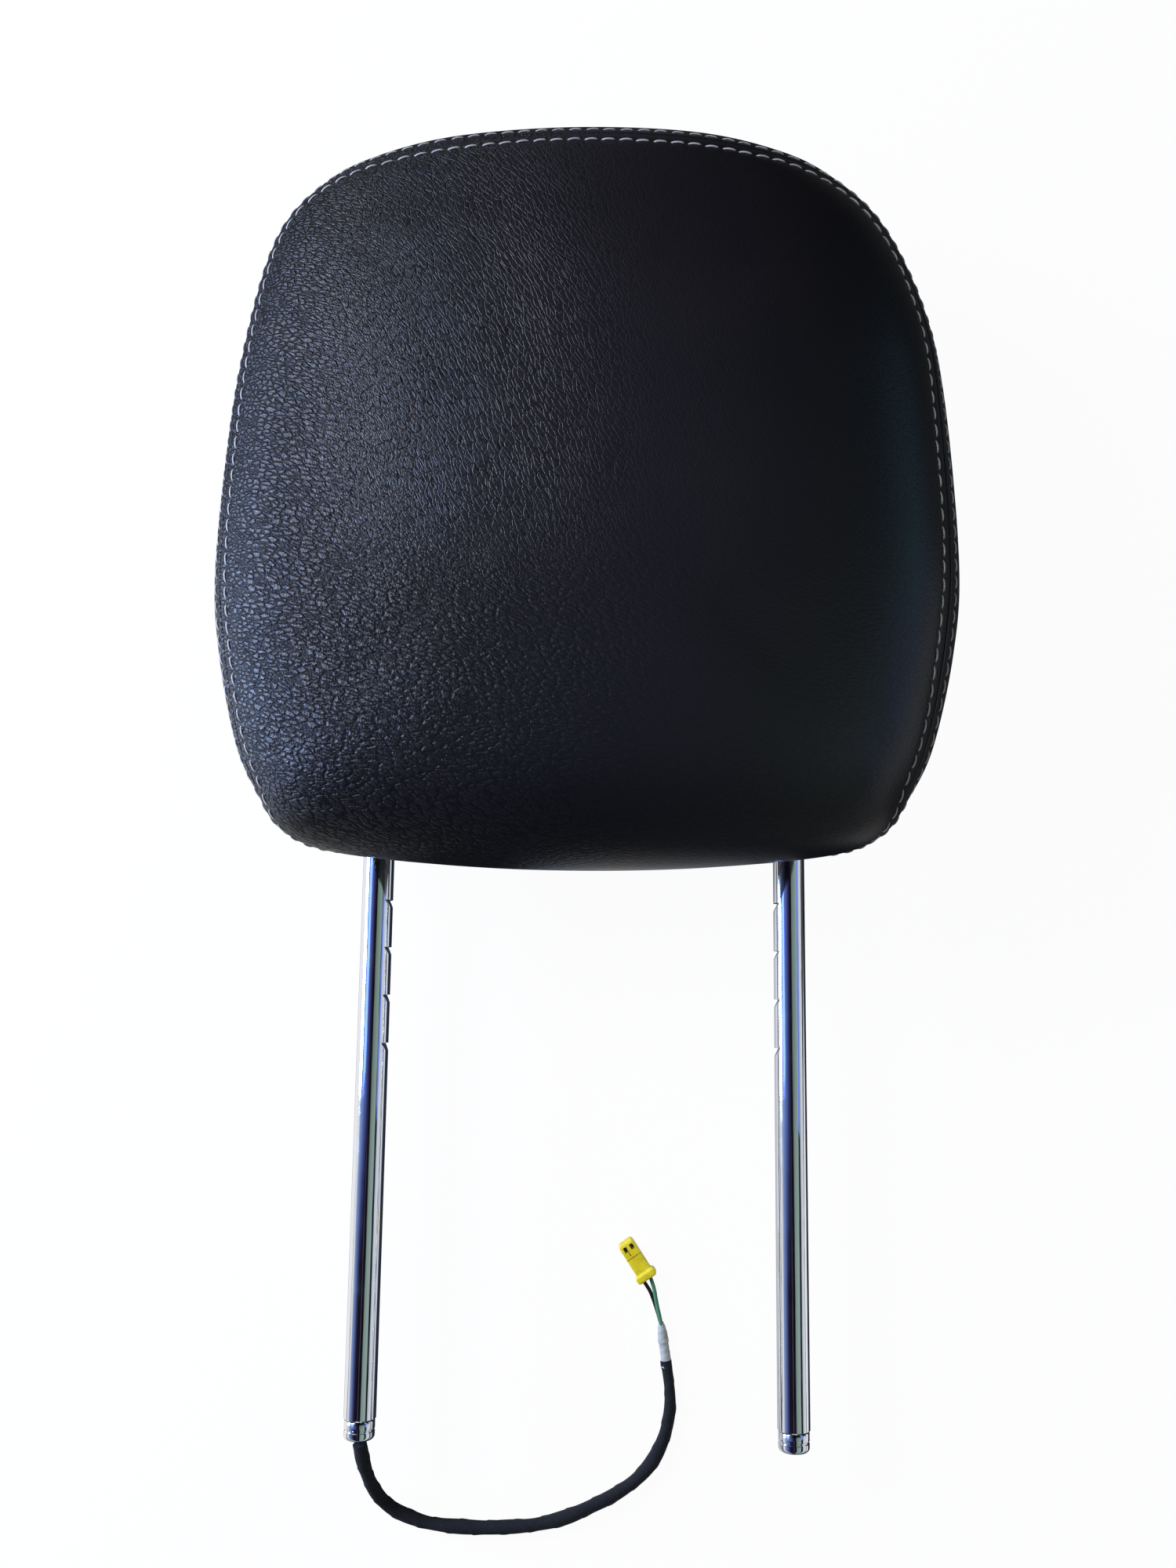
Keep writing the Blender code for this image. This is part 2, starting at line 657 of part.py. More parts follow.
def cut_carrier(made):
    """Bore the carrier for bushes, springs, striker, pins and screws."""
    bores = bmesh.new()
    above = BUSH_BOSS_TOP + CARRIER_THICKNESS
    below = CARRIER_LEVEL - CARRIER_THICKNESS
    for x, y in rod_places():
        cylinder(bores, BUSH_DIAMETER + 2 * GAP, below, above, x, y)
    for row in SPRING_ROWS:
        cylinder(bores, WELL_BORE, WELL_FLOOR + WELL_WALL, above, 0.0, BOTTOM_Y + row)
    for x, y in bridge_screw_places():
        cylinder(bores, SCREW_SHANK + 2 * GAP, BRIDGE_LEVEL, CARRIER_LEVEL, x, y, 16)
    for x, y in shell_screw_places():
        cylinder(bores, SCREW_SHANK + 2 * GAP, SHELL_BOSS_TOP / 2, CARRIER_LEVEL, x, y, 16)
    cylinder(bores, STRIKER_HOLE, below, above, 0.0, LATCH_Y)
    cylinder(bores, PIVOT_PIN + 2 * GAP, below, above, PIVOT_X, LATCH_Y, 16)
    for x in rivet_xs():
        cylinder(bores, RIVET_SHANK + 2 * GAP, below, above, x, rivet_y(), 16)
    combine(made, bores, "DIFFERENCE", "bores")


def make_bridges(finish):
    """The two steel straps that clamp the posts against the carrier."""
    reach = POST_X + POST_RADIUS + GAP
    for name, row in (("lower_bridge", LOWER_BRIDGE), ("upper_bridge", UPPER_BRIDGE)):
        middle = BOTTOM_Y + row
        section = [
            (-reach - BRIDGE_LIP, BRIDGE_LEVEL), (reach + BRIDGE_LIP, BRIDGE_LEVEL),
            (reach + BRIDGE_LIP, CARRIER_LEVEL - GAP), (reach, CARRIER_LEVEL - GAP),
            (reach, BRIDGE_TOP), (-reach, BRIDGE_TOP), (-reach, CARRIER_LEVEL - GAP),
            (-reach - BRIDGE_LIP, CARRIER_LEVEL - GAP),
        ]
        ends = (middle - BRIDGE_WIDTH / 2, middle + BRIDGE_WIDTH / 2)
        work = loft([[(x, y, z) for x, z in section] for y in ends])
        made = place(name, mesh_from(work, name), finish, smooth=False)
        holes = bmesh.new()
        for x in (-BRIDGE_SCREW_X, BRIDGE_SCREW_X):
            cylinder(holes, SCREW_SHANK + 2 * GAP, BRIDGE_LEVEL - GAP, BRIDGE_TOP + GAP,
                     x, middle, 16)
        combine(made, holes, "DIFFERENCE", "holes")


def make_screws(finish):
    """Pan-head screws: four through the bridges and three through the shell."""
    rows = [("bridge_screw", bridge_screw_places(), BRIDGE_LEVEL - GAP),
            ("shell_screw", shell_screw_places(), SHELL_SCREW_SEAT - GAP)]
    slot = SCREW_HEAD * 0.35
    for kind, places, seat in rows:
        reach = SCREW_LENGTH if kind == "bridge_screw" else SHELL_BOSS_TOP
        profile = [
            (slot, 0.001 - SCREW_HEAD_HEIGHT), (slot, -SCREW_HEAD_HEIGHT),
            (SCREW_HEAD * 0.8, -SCREW_HEAD_HEIGHT), (SCREW_HEAD, -SCREW_HEAD_HEIGHT / 2),
            (SCREW_HEAD, 0.0), (SCREW_SHANK, 0.0), (SCREW_SHANK, reach),
        ]
        for number, (x, y) in enumerate(places, 1):
            turned(f"{kind}_{number}", profile, finish, (x, y, seat), sides=10)


def make_guides(steel, bush_finish):
    """Guide rods riveted to the impact plate, their bushes and their retaining clips."""
    rod = [
        (ROD_DIAMETER, ROD_BOTTOM), (ROD_DIAMETER, PLATE_LEVEL - GAP),
        (RIVET_NECK, PLATE_LEVEL - GAP), (RIVET_NECK, PLATE_TOP + GAP),
        (ROD_HEAD_DIAMETER, PLATE_TOP + GAP), (ROD_HEAD_DIAMETER, PLATE_TOP + GAP + ROD_HEAD_HEIGHT),
    ]
    bush_bore = ROD_DIAMETER + 2 * RUNNING_FIT
    seat = BUSH_BOSS_TOP + GAP
    bush = [
        (bush_bore, BUSH_BOTTOM), (BUSH_DIAMETER, BUSH_BOTTOM), (BUSH_DIAMETER, seat),
        (BUSH_FLANGE, seat), (BUSH_FLANGE, seat + BUSH_FLANGE_THICKNESS),
        (bush_bore, seat + BUSH_FLANGE_THICKNESS),
    ]
    clip_bore = ROD_DIAMETER + 2 * GAP
    clip_top = CLIP_LEVEL + CLIP_THICKNESS
    clip = [(clip_bore, CLIP_LEVEL), (CLIP_DIAMETER, CLIP_LEVEL), (CLIP_DIAMETER, clip_top),
            (clip_bore, clip_top)]
    for number, (x, y) in enumerate(rod_places(), 1):
        turned(f"guide_rod_{number}", rod, steel, (x, y, 0), sides=16)
        turned(f"guide_bush_{number}", bush, bush_finish, (x, y, 0), sides=16, bored=True)
        turned(f"rod_clip_{number}", clip, steel, (x, y, 0), sides=12, bored=True)


def helix(diameter, bottom, top, turns, steps=10):
    """Points along a coil of one pitch."""
    count = turns * steps
    return [
        (diameter / 2 * cos(tau * step / steps), diameter / 2 * sin(tau * step / steps),
         bottom + (top - bottom) * step / count)
        for step in range(count + 1)
    ]


def make_drive_springs(finish):
    """The two compression springs between the wells and the impact plate."""
    bottom = WELL_FLOOR + WELL_WALL + GAP + SPRING_WIRE / 2
    top = PLATE_LEVEL - GAP - SPRING_WIRE / 2
    mean = SPRING_DIAMETER - SPRING_WIRE
    for number, row in enumerate(SPRING_ROWS, 1):
        points = helix(mean, bottom, top, SPRING_TURNS)
        made = tube(f"drive_spring_{number}", points, SPRING_WIRE, finish, resolution=0)
        made.location = (0.0, BOTTOM_Y + row, 0.0)


def lever_outline():
    """The lever seen from the front, about its pivot."""
    nose = NECK_DIAMETER / 2 + GAP
    half = ARM_HALF_WIDTH
    boss = PIVOT_PIN / 2 + 0.0035
    return [
        (-PIVOT_X - 0.005, -nose), (-PIVOT_X + 0.005, -nose), (-0.010, 0.001),
        (-0.7 * boss, 0.7 * boss), (0.0, boss), (0.7 * boss, 0.7 * boss), (boss, half),
        (PUSH_ARM + 0.0035, half), (PUSH_ARM + 0.0035, -half), (boss, -half),
        (0.7 * boss, -0.7 * boss), (0.0, -boss), (-0.010, -0.0098), (-PIVOT_X - 0.005, -0.0098),
    ]


def make_latch(steel, spring_steel):
    """Lever, pivot pin, return spring and the ramped striker that the lever holds down."""
    lever = place("latch_lever", mesh_from(plate(lever_outline(), 0.0, LEVER_THICKNESS),
                                           "latch_lever"), steel, (PIVOT_X, LATCH_Y, LEVER_LEVEL),
                  smooth=False)
    hole = bmesh.new()
    cylinder(hole, PIVOT_PIN + 2 * RUNNING_FIT, -GAP, LEVER_THICKNESS + GAP, 0.0, 0.0, 24)
    combine(lever, hole, "DIFFERENCE", "pivot_hole")
    lever.modifiers["pivot_hole"].object.parent = lever
    collar_top = CARRIER_LEVEL - GAP
    head_level = CARRIER_TOP + GAP
    pin = [
        (PIVOT_HEAD, LEVER_LEVEL - GAP - 0.0025), (PIVOT_HEAD, LEVER_LEVEL - GAP),
        (PIVOT_PIN, LEVER_LEVEL - GAP), (PIVOT_PIN, LEVER_TOP + GAP),
        (PIVOT_COLLAR, LEVER_TOP + GAP), (PIVOT_COLLAR, collar_top), (PIVOT_PIN, collar_top),
        (PIVOT_PIN, head_level), (PIVOT_COLLAR, head_level),
        (PIVOT_COLLAR, head_level + RIVET_HEAD_HEIGHT),
    ]
    turned("latch_pin", pin, steel, (PIVOT_X, LATCH_Y, 0), sides=24)
    mean = PIVOT_COLLAR + 2 * GAP + LATCH_SPRING_WIRE
    coil = helix(mean, LEVER_TOP + GAP + LATCH_SPRING_WIRE, collar_top - LATCH_SPRING_WIRE,
                 LATCH_SPRING_TURNS)
    wound = tube("latch_spring", coil, LATCH_SPRING_WIRE, spring_steel, resolution=0)
    wound.location = (PIVOT_X, LATCH_Y, 0.0)
    cone_top = LEVER_LEVEL - GAP
    cone_bottom = cone_top - STRIKER_CONE
    shank = cone_top + STRIKER_NECK
    striker = [
        (STRIKER_HEAD_DIAMETER, cone_bottom - STRIKER_FOOT), (STRIKER_HEAD_DIAMETER, cone_bottom),
        (NECK_DIAMETER, cone_top), (NECK_DIAMETER, shank), (STRIKER_SHANK, shank),
        (STRIKER_SHANK, PLATE_LEVEL - GAP), (RIVET_NECK, PLATE_LEVEL - GAP),
        (RIVET_NECK, PLATE_TOP + GAP), (ROD_HEAD_DIAMETER, PLATE_TOP + GAP),
        (ROD_HEAD_DIAMETER, PLATE_TOP + GAP + ROD_HEAD_HEIGHT),
    ]
    turned("latch_striker", striker, steel, (0.0, LATCH_Y, 0.0), sides=16)


def rivet_xs():
    """The solenoid's two rivets stand beside its coil."""
    return (SOLENOID_X - RIVET_REACH, SOLENOID_X + RIVET_REACH)


def rivet_y():
    """The rivets stand half way along the coil."""
    return (COIL_START_Y + COIL_END_Y) / 2


def make_solenoid(steel, winding, plug_finish):
    """The solenoid under the carrier: frame, coil, plunger, rivets and plug."""
    top = CARRIER_LEVEL - GAP
    bottom = SOLENOID_LEVEL - COIL_DIAMETER / 2 - GAP
    half = FRAME_WIDTH / 2
    section = [
        (FRAME_START_Y, bottom), (COIL_START_Y - GAP, bottom), (COIL_START_Y - GAP, top - FRAME_SHEET),
        (COIL_END_Y + GAP, top - FRAME_SHEET), (COIL_END_Y + GAP, bottom), (FRAME_END_Y, bottom),
        (FRAME_END_Y, top), (FRAME_START_Y, top),
    ]
    sides = (SOLENOID_X - half, SOLENOID_X + half)
    frame = place("solenoid_frame", mesh_from(loft([[(x, y, z) for y, z in section] for x in sides]),
                                              "solenoid_frame"), steel, smooth=False)
    wings = bmesh.new()
    box(wings, (SOLENOID_X - FRAME_WING / 2, rivet_y() - 0.004, top - FRAME_SHEET),
        (SOLENOID_X + FRAME_WING / 2, rivet_y() + 0.004, top))
    combine(frame, wings, "UNION", "wings")
    holes = bmesh.new()
    lying_cylinder(holes, COIL_BORE, FRAME_START_Y - GAP, FRAME_END_Y + GAP, SOLENOID_X,
                   SOLENOID_LEVEL, 20)
    for x in rivet_xs():
        cylinder(holes, RIVET_SHANK + 2 * GAP, top - 2 * FRAME_SHEET, top + GAP, x, rivet_y(), 16)
    combine(frame, holes, "DIFFERENCE", "holes")
    coil = [(COIL_BORE, COIL_START_Y), (COIL_DIAMETER, COIL_START_Y), (COIL_DIAMETER, COIL_END_Y),
            (COIL_BORE, COIL_END_Y)]
    along_y("solenoid_coil", coil, winding, SOLENOID_X, SOLENOID_LEVEL, 24, bored=True)
    shoulder = NOSE_Y - PLUNGER_NOSE_LENGTH
    plunger = [
        (PLUNGER_DIAMETER, FRAME_END_Y - PLUNGER_INSIDE), (PLUNGER_DIAMETER, shoulder),
        (PLUNGER_NOSE, shoulder), (PLUNGER_NOSE, NOSE_Y - 0.001), (PLUNGER_NOSE * 0.5, NOSE_Y),
    ]
    along_y("solenoid_plunger", plunger, steel, SOLENOID_X, SOLENOID_LEVEL, 20)
    rivet = [
        (RIVET_HEAD, top - FRAME_SHEET - GAP - RIVET_HEAD_HEIGHT), (RIVET_HEAD, top - FRAME_SHEET - GAP),
        (RIVET_SHANK, top - FRAME_SHEET - GAP), (RIVET_SHANK, CARRIER_TOP + GAP),
        (RIVET_HEAD, CARRIER_TOP + GAP), (RIVET_HEAD, CARRIER_TOP + GAP + RIVET_HEAD_HEIGHT),
    ]
    for number, x in enumerate(rivet_xs(), 1):
        turned(f"solenoid_rivet_{number}", rivet, steel, (x, rivet_y(), 0), sides=12)
    make_solenoid_plug(plug_finish)


def plug_corner():
    """The plug's lowest corner: it sits on the frame's end, beside the plunger."""
    x = PLUG_LINE_X - PLUG_SIZE[0] / 2
    return Vector((x, FRAME_END_Y + GAP, LEAD_LEVEL - PLUG_SIZE[2] / 2))


def make_solenoid_plug(finish):
    """The plug that ends the inner lead."""
    work = bmesh.new()
    low = plug_corner()
    box(work, low, low + Vector(PLUG_SIZE))
    bmesh.ops.bevel(work, geom=work.edges[:], offset=0.0006, segments=1, profile=0.5,
                    affect="EDGES")
    place("solenoid_plug", mesh_from(work, "solenoid_plug"), finish, smooth=False)


def make_inner_lead(finish, clip_finish):
    """The lead in the left post and on to the solenoid, with the clip that holds it."""
    low = plug_corner()
    start = POST_FOOT_Y + SPIGOT_LENGTH + GAP
    end = (low.x + PLUG_SIZE[0] / 2, low.y + PLUG_SIZE[1] + GAP, LEAD_LEVEL)
    before = (end[0], end[1] + LEAD_END_RUN, LEAD_LEVEL)
    route = [(-POST_X + x, BOTTOM_Y + row) for x, row in LEAD_FROM_POST]
    route += [(PLUG_LINE_X + x, BOTTOM_Y + row) for x, row in LEAD_TO_PLUG]
    straight = [(-POST_X, start, POST_LEVEL), (-POST_X, (start + route[0][1]) / 2, POST_LEVEL)]
    bend = [(x, y, LEAD_LEVEL if number > 1 else POST_LEVEL)
            for number, (x, y) in enumerate(route)]
    points = smooth_route([*straight, *bend, before, end], LEAD_DIAMETER * 2.6)
    tube("inner_lead", points, LEAD_DIAMETER, finish)
    make_lead_clip(clip_finish)


def make_lead_clip(finish):
    """A P-shaped strap under the carrier that holds the lead."""
    x = PLUG_LINE_X - CLIP_FROM_PLUG
    y = BOTTOM_Y + CLIP_ROW
    inner = LEAD_DIAMETER / 2 + GAP
    outer = inner + CLIP_SHEET
    top = CARRIER_LEVEL - GAP
    section = [
        (-outer, LEAD_LEVEL - outer), (outer, LEAD_LEVEL - outer), (outer, LEAD_LEVEL + outer),
        (-inner, LEAD_LEVEL + outer), (-inner - CLIP_ARM, top),
        (-inner - CLIP_ARM - CLIP_FOOT, top), (-inner - CLIP_ARM - CLIP_FOOT, top - CLIP_SHEET),
        (-outer - CLIP_ARM + CLIP_SHEET, top - CLIP_SHEET),
        (-outer, LEAD_LEVEL + inner),
    ]
    sides = (x - CLIP_WIDTH / 2, x + CLIP_WIDTH / 2)
    work = loft([[(along, y + a, b) for a, b in section] for along in sides])
    made = place("lead_clip", mesh_from(work, "lead_clip"), finish, smooth=False)
    groove = bmesh.new()
    spin = Matrix.Translation((x, y, LEAD_LEVEL)) @ Matrix.Rotation(pi / 2, 4, "Y")
    bmesh.ops.create_cone(groove, cap_ends=True, segments=12, radius1=inner, radius2=inner,
                          depth=2 * CLIP_WIDTH, matrix=spin)
    combine(made, groove, "DIFFERENCE", "lead_hole")


def connector_frame():
    """Rear point, direction and angle of the connector, as it lies on the floor."""
    rear = Vector((*CONNECTOR_REAR, FLANGE_HEIGHT / 2 + GAP / 3))
    tip = Vector((*CONNECTOR_TIP, rear.z))
    run = tip - rear
    return rear, run.normalized(), run.length, atan2(run.y, run.x)


def make_connector(housing_finish, terminal_finish):
    """The two-way connector: housing with flange, windows and cavities, and two terminals."""
    rear, _, length, turn = connector_frame()
    work = bmesh.new()
    box(work, (0, -FLANGE_WIDTH / 2, -FLANGE_HEIGHT / 2),
        (FLANGE_LENGTH, FLANGE_WIDTH / 2, FLANGE_HEIGHT / 2))
    housing = place("connector_housing", mesh_from(work, "connector_housing"), housing_finish,
                    rear, (0, 0, turn), smooth=False)
    body = bmesh.new()
    box(body, (FLANGE_LENGTH / 2, -CONNECTOR_WIDTH / 2, -CONNECTOR_HEIGHT / 2),
        (length, CONNECTOR_WIDTH / 2, CONNECTOR_HEIGHT / 2))
    combine(housing, body, "UNION", "body")
    cuts = bmesh.new()
    for side in (-1, 1):
        y = side * CAVITY_PITCH / 2
        box(cuts, (-GAP, y - CAVITY_SIZE / 2, -CAVITY_SIZE / 2),
            (length + GAP, y + CAVITY_SIZE / 2, CAVITY_SIZE / 2))
    combine(housing, cuts, "DIFFERENCE", "cavities")
    windows = bmesh.new()
    for side in (-1, 1):
        y = side * CAVITY_PITCH / 2
        start = WINDOW_START + (side > 0) * WINDOW_LENGTH * 0.4
        box(windows, (start, y - CAVITY_SIZE * 0.4, 0),
            (start + WINDOW_LENGTH, y + CAVITY_SIZE * 0.4, CONNECTOR_HEIGHT))
    box(windows, (GROOVE_AT, -CONNECTOR_WIDTH, CONNECTOR_HEIGHT / 2 - GROOVE_DEPTH),
        (GROOVE_AT + GROOVE_WIDTH, CONNECTOR_WIDTH, CONNECTOR_HEIGHT))
    combine(housing, windows, "DIFFERENCE", "windows")
    for name in ("body", "cavities", "windows"):
        housing.modifiers[name].object.parent = housing
    reach = CAVITY_SIZE / 2 - GAP
    for number, side in enumerate((-1, 1), 1):
        y = side * CAVITY_PITCH / 2
        pin = bmesh.new()
        box(pin, (FLANGE_LENGTH + 2 * GAP, y - reach, -CAVITY_SIZE / 2 + GAP),
            (length - 0.001, y + reach, -CAVITY_SIZE / 2 + GAP + TERMINAL_THICKNESS))
        place(f"terminal_{number}", mesh_from(pin, f"terminal_{number}"), terminal_finish, rear,
              (0, 0, turn), smooth=False)


def make_cord(loom_finish, sleeve_finish, black, green):
    """The free cord: loom, tape sleeve and two wires, in the order in which they run."""
    start = (-POST_X, POST_FOOT_Y + SPIGOT_LENGTH, POST_LEVEL)
    inside = (-POST_X, FOOT_Y + END_LENGTH / 2, POST_LEVEL)
    spacing = LOOM_DIAMETER * 1.1
    tube("loom", smooth_route([start, inside, *LOOM_ROUTE], spacing), LOOM_DIAMETER, loom_finish)
    loom_end = Vector(LOOM_ROUTE[-1])
    sleeve_end = Vector((*SLEEVE_END, loom_end.z))
    run = (sleeve_end - loom_end).normalized()
    tube("tape_sleeve", [loom_end + run * GAP, sleeve_end], SLEEVE_DIAMETER, sleeve_finish)
    rear, direction, _, _ = connector_frame()
    across = Vector((-direction.y, direction.x, 0.0))
    side = Vector((-run.y, run.x, 0.0))
    for name, sign, finish in (("black_wire", 1, black), ("green_wire", -1, green)):
        first = sleeve_end + run * GAP + side * sign * WIRE_START_OFFSET
        middle = Vector((*WIRE_MIDDLE, loom_end.z))
        middle += side * sign * (WIRE_START_OFFSET + WIRE_END_OFFSET) / 2
        last = rear + across * sign * WIRE_END_OFFSET
        inside = last + direction * FLANGE_LENGTH
        points = smooth_route([first, middle, last, inside], WIRE_DIAMETER * 2.5)
        tube(name, points, WIRE_DIAMETER, finish)


def build():
    """Make the whole headrest."""
    clear_scene()
    leather = material("black_leather", (0.012, 0.012, 0.016), 0.5)
    shell = material("black_shell", (0.014, 0.014, 0.015), 0.6)
    chrome = material("chrome", (0.8, 0.8, 0.82), 0.08, 1.0)
    steel = material("zinc_steel", (0.55, 0.56, 0.58), 0.35, 1.0)
    spring_steel = material("spring_steel", (0.32, 0.32, 0.34), 0.4, 1.0)
    foam = material("foam", (0.55, 0.5, 0.38), 0.95)
    carrier = material("grey_carrier", (0.08, 0.08, 0.085), 0.55)
    natural = material("natural_plastic", (0.75, 0.73, 0.66), 0.5)
    copper = material("coil_tape", (0.45, 0.18, 0.07), 0.4)
    loom = material("loom_tape", (0.01, 0.01, 0.011), 0.85)
    white_tape = material("white_tape", (0.78, 0.78, 0.74), 0.6)
    black = material("black_wire", (0.012, 0.012, 0.012), 0.4)
    green = material("green_wire", (0.02, 0.25, 0.07), 0.4)
    yellow = material("yellow_plastic", (0.7, 0.63, 0.02), 0.4)
    outline = cushion_outline()
    make_front_cover(leather, outline)
    make_front_foam(foam, outline)
    make_impact_plate(carrier, outline)
    make_rear_shell(shell, outline)
    make_post("left_post", -1, chrome)
    make_post("right_post", 1, chrome)
    make_post_ends(chrome)
    make_collars(shell)
    make_carrier(carrier)
    make_bridges(steel)
    make_screws(steel)
    make_guides(steel, natural)
    make_drive_springs(spring_steel)
    make_latch(steel, spring_steel)
    make_solenoid(steel, copper, natural)
    make_inner_lead(loom, steel)
    make_connector(yellow, steel)
    make_cord(loom, white_tape, black, green)


build()
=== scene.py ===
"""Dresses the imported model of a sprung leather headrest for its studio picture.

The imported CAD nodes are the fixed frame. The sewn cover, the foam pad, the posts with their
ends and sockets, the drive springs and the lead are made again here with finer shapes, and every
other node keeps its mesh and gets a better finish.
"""

from __future__ import annotations

import json
import logging
from dataclasses import dataclass, field
from enum import Enum
from math import cos, pi, radians, sin, tau
from typing import Callable, Mapping, Sequence

import bmesh
import bpy
import numpy as np
from mathutils import Matrix, Vector
from mathutils.bvhtree import BVHTree

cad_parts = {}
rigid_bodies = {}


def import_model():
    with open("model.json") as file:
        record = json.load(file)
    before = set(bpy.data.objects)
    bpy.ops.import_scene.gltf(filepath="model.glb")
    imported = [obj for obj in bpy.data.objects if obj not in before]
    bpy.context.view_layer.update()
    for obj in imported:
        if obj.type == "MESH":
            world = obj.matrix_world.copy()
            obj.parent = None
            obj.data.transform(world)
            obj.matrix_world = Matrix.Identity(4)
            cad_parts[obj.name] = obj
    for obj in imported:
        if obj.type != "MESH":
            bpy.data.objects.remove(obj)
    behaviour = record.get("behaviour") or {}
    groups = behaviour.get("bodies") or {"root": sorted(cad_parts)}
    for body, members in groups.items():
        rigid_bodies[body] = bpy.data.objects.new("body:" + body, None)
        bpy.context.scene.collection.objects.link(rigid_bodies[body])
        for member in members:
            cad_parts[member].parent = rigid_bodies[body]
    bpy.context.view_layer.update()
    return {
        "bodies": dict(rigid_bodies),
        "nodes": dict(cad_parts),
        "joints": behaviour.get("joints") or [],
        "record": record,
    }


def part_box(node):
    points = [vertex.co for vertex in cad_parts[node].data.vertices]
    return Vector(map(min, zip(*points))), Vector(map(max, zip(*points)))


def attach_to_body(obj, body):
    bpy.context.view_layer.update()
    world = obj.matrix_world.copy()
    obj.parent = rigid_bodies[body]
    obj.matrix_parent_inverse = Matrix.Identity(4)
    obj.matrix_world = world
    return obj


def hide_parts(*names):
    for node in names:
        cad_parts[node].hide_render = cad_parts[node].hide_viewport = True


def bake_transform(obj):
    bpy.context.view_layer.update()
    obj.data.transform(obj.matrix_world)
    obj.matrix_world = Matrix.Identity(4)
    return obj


log = logging.getLogger("headrest")
Colour = tuple[float, float, float, float]
Socket = bpy.types.NodeSocket
Tree = bpy.types.NodeTree
Pair = tuple[float, float]
Place = tuple[float, float, float]
Profile = Sequence[Pair]


class Body(str, Enum):
    """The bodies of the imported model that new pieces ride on."""

    REAR = "rear_unit"
    FRONT = "front_unit"


class Slot(str, Enum):
    """The record's material slots."""

    SHELL = "shell_plastic"
    CARRIER = "carrier_plastic"
    CHROME = "post_chrome"
    ZINC = "zinc_steel"
    SPRING = "spring_steel"
    COIL = "coil_tape"
    NATURAL = "natural_plastic"
    LOOM = "loom_tape"
    WHITE_TAPE = "white_tape"
    BLACK_WIRE = "black_insulation"
    GREEN_WIRE = "green_insulation"
    YELLOW = "yellow_plastic"
    LEATHER = "black_leather"
    FOAM = "cushion_foam"


# ---------------------------------------------------------------- finishes


def linear(code: str) -> Colour:
    """Turn an sRGB hex colour into the linear values that shaders take.

    Args:
        code: six hex digits, with or without the leading sign.

    Returns:
        Linear red, green and blue, and an alpha of one.
    """
    code = code.lstrip("#")
    shares = [int(code[at : at + 2], 16) / 255 for at in (0, 2, 4)]
    bright = [c / 12.92 if c <= 0.04045 else ((c + 0.055) / 1.055) ** 2.4 for c in shares]
    return (*bright, 1.0)


def add_node(
    tree: Tree,
    kind: str,
    inputs: Mapping[str | int, object] | None = None,
    stops: Sequence[tuple[float, str]] = (),
    **settings: object,
) -> bpy.types.Node:
    """Add a shader node with its settings, values and links.

    Args:
        tree: the node tree that gets it.
        kind: the node's class name after "ShaderNode".
        inputs: a value, or the output that feeds it, for each input by name or number.
        stops: places and hex colours of a colour ramp.
        **settings: properties of the node itself.

    Returns:
        The node.
    """
    node = tree.nodes.new(f"ShaderNode{kind}")
    for name, value in settings.items():
        setattr(node, name, value)
    for key, value in (inputs or {}).items():
        if isinstance(value, Socket):
            tree.links.new(value, node.inputs[key])
        else:
            node.inputs[key].default_value = value
    if stops:
        ramp = node.color_ramp.elements
        while len(ramp) < len(stops):
            ramp.new(1.0)
        for element, (place, code) in zip(ramp, stops):
            element.position = place
            element.color = linear(code)
    return node


def spread(tree: Tree, value: Socket, start: Pair = (0.0, 1.0), end: Pair = (0.0, 1.0),
           ease: str = "LINEAR") -> Socket:
    """Carry a value from one range over to another, and hold it at the ends.

    Args:
        tree: the node tree.
        value: the value.
        start: the range it has.
        end: the range it gets.
        ease: how it goes from one end to the other.

    Returns:
        The new value.
    """
    names = ("From Min", "From Max", "To Min", "To Max")
    inputs = {"Value": value, **dict(zip(names, (*start, *end)))}
    return add_node(tree, "MapRange", inputs, interpolation_type=ease).outputs[0]


def maths(tree: Tree, operation: str, *values: Socket | float) -> Socket:
    """Join up to three values by one operation.

    Args:
        tree: the node tree.
        operation: the operation's name in the Math node.
        *values: numbers, or the outputs that give them.

    Returns:
        The result.
    """
    return add_node(tree, "Math", dict(enumerate(values)), operation=operation).outputs[0]


def noise(tree: Tree, place: Socket, scale: float, detail: float, **more: float) -> Socket:
    """Add a noise.

    Args:
        tree: the node tree.
        place: where it is read, in metres or, on a map, in millimetres.
        scale: how many waves it has in one unit of place.
        detail: how many finer layers it has.
        **more: other inputs by name.

    Returns:
        Its value from nought to one.
    """
    return add_node(tree, "TexNoise", {"Vector": place, "Scale": scale, "Detail": detail,
                                       **more}).outputs[0]


def tinted(tree: Tree, share: Socket, first: Socket | str, second: Socket | str) -> Socket:
    """Mix two colours.

    Args:
        tree: the node tree.
        share: how much the second one counts.
        first: a hex colour, or the output that gives one.
        second: the other colour.

    Returns:
        The mixed colour.
    """
    pair = [linear(c) if isinstance(c, str) else c for c in (first, second)]
    return add_node(tree, "Mix", {"Factor": share, 6: pair[0], 7: pair[1]},
                    data_type="RGBA").outputs[2]


def emboss(tree: Tree, shader: bpy.types.Node, height: Socket, strength: Socket | float,
           depth: float) -> None:
    """Let a height bend a surface.

    Args:
        tree: the node tree.
        shader: the surface's shader.
        height: the height from nought to one.
        strength: how much of it shows.
        depth: what a height of one measures, in millimetres.
    """
    bump = add_node(tree, "Bump", {"Height": height, "Strength": strength,
                                   "Distance": depth / 1000})
    tree.links.new(bump.outputs[0], shader.inputs["Normal"])


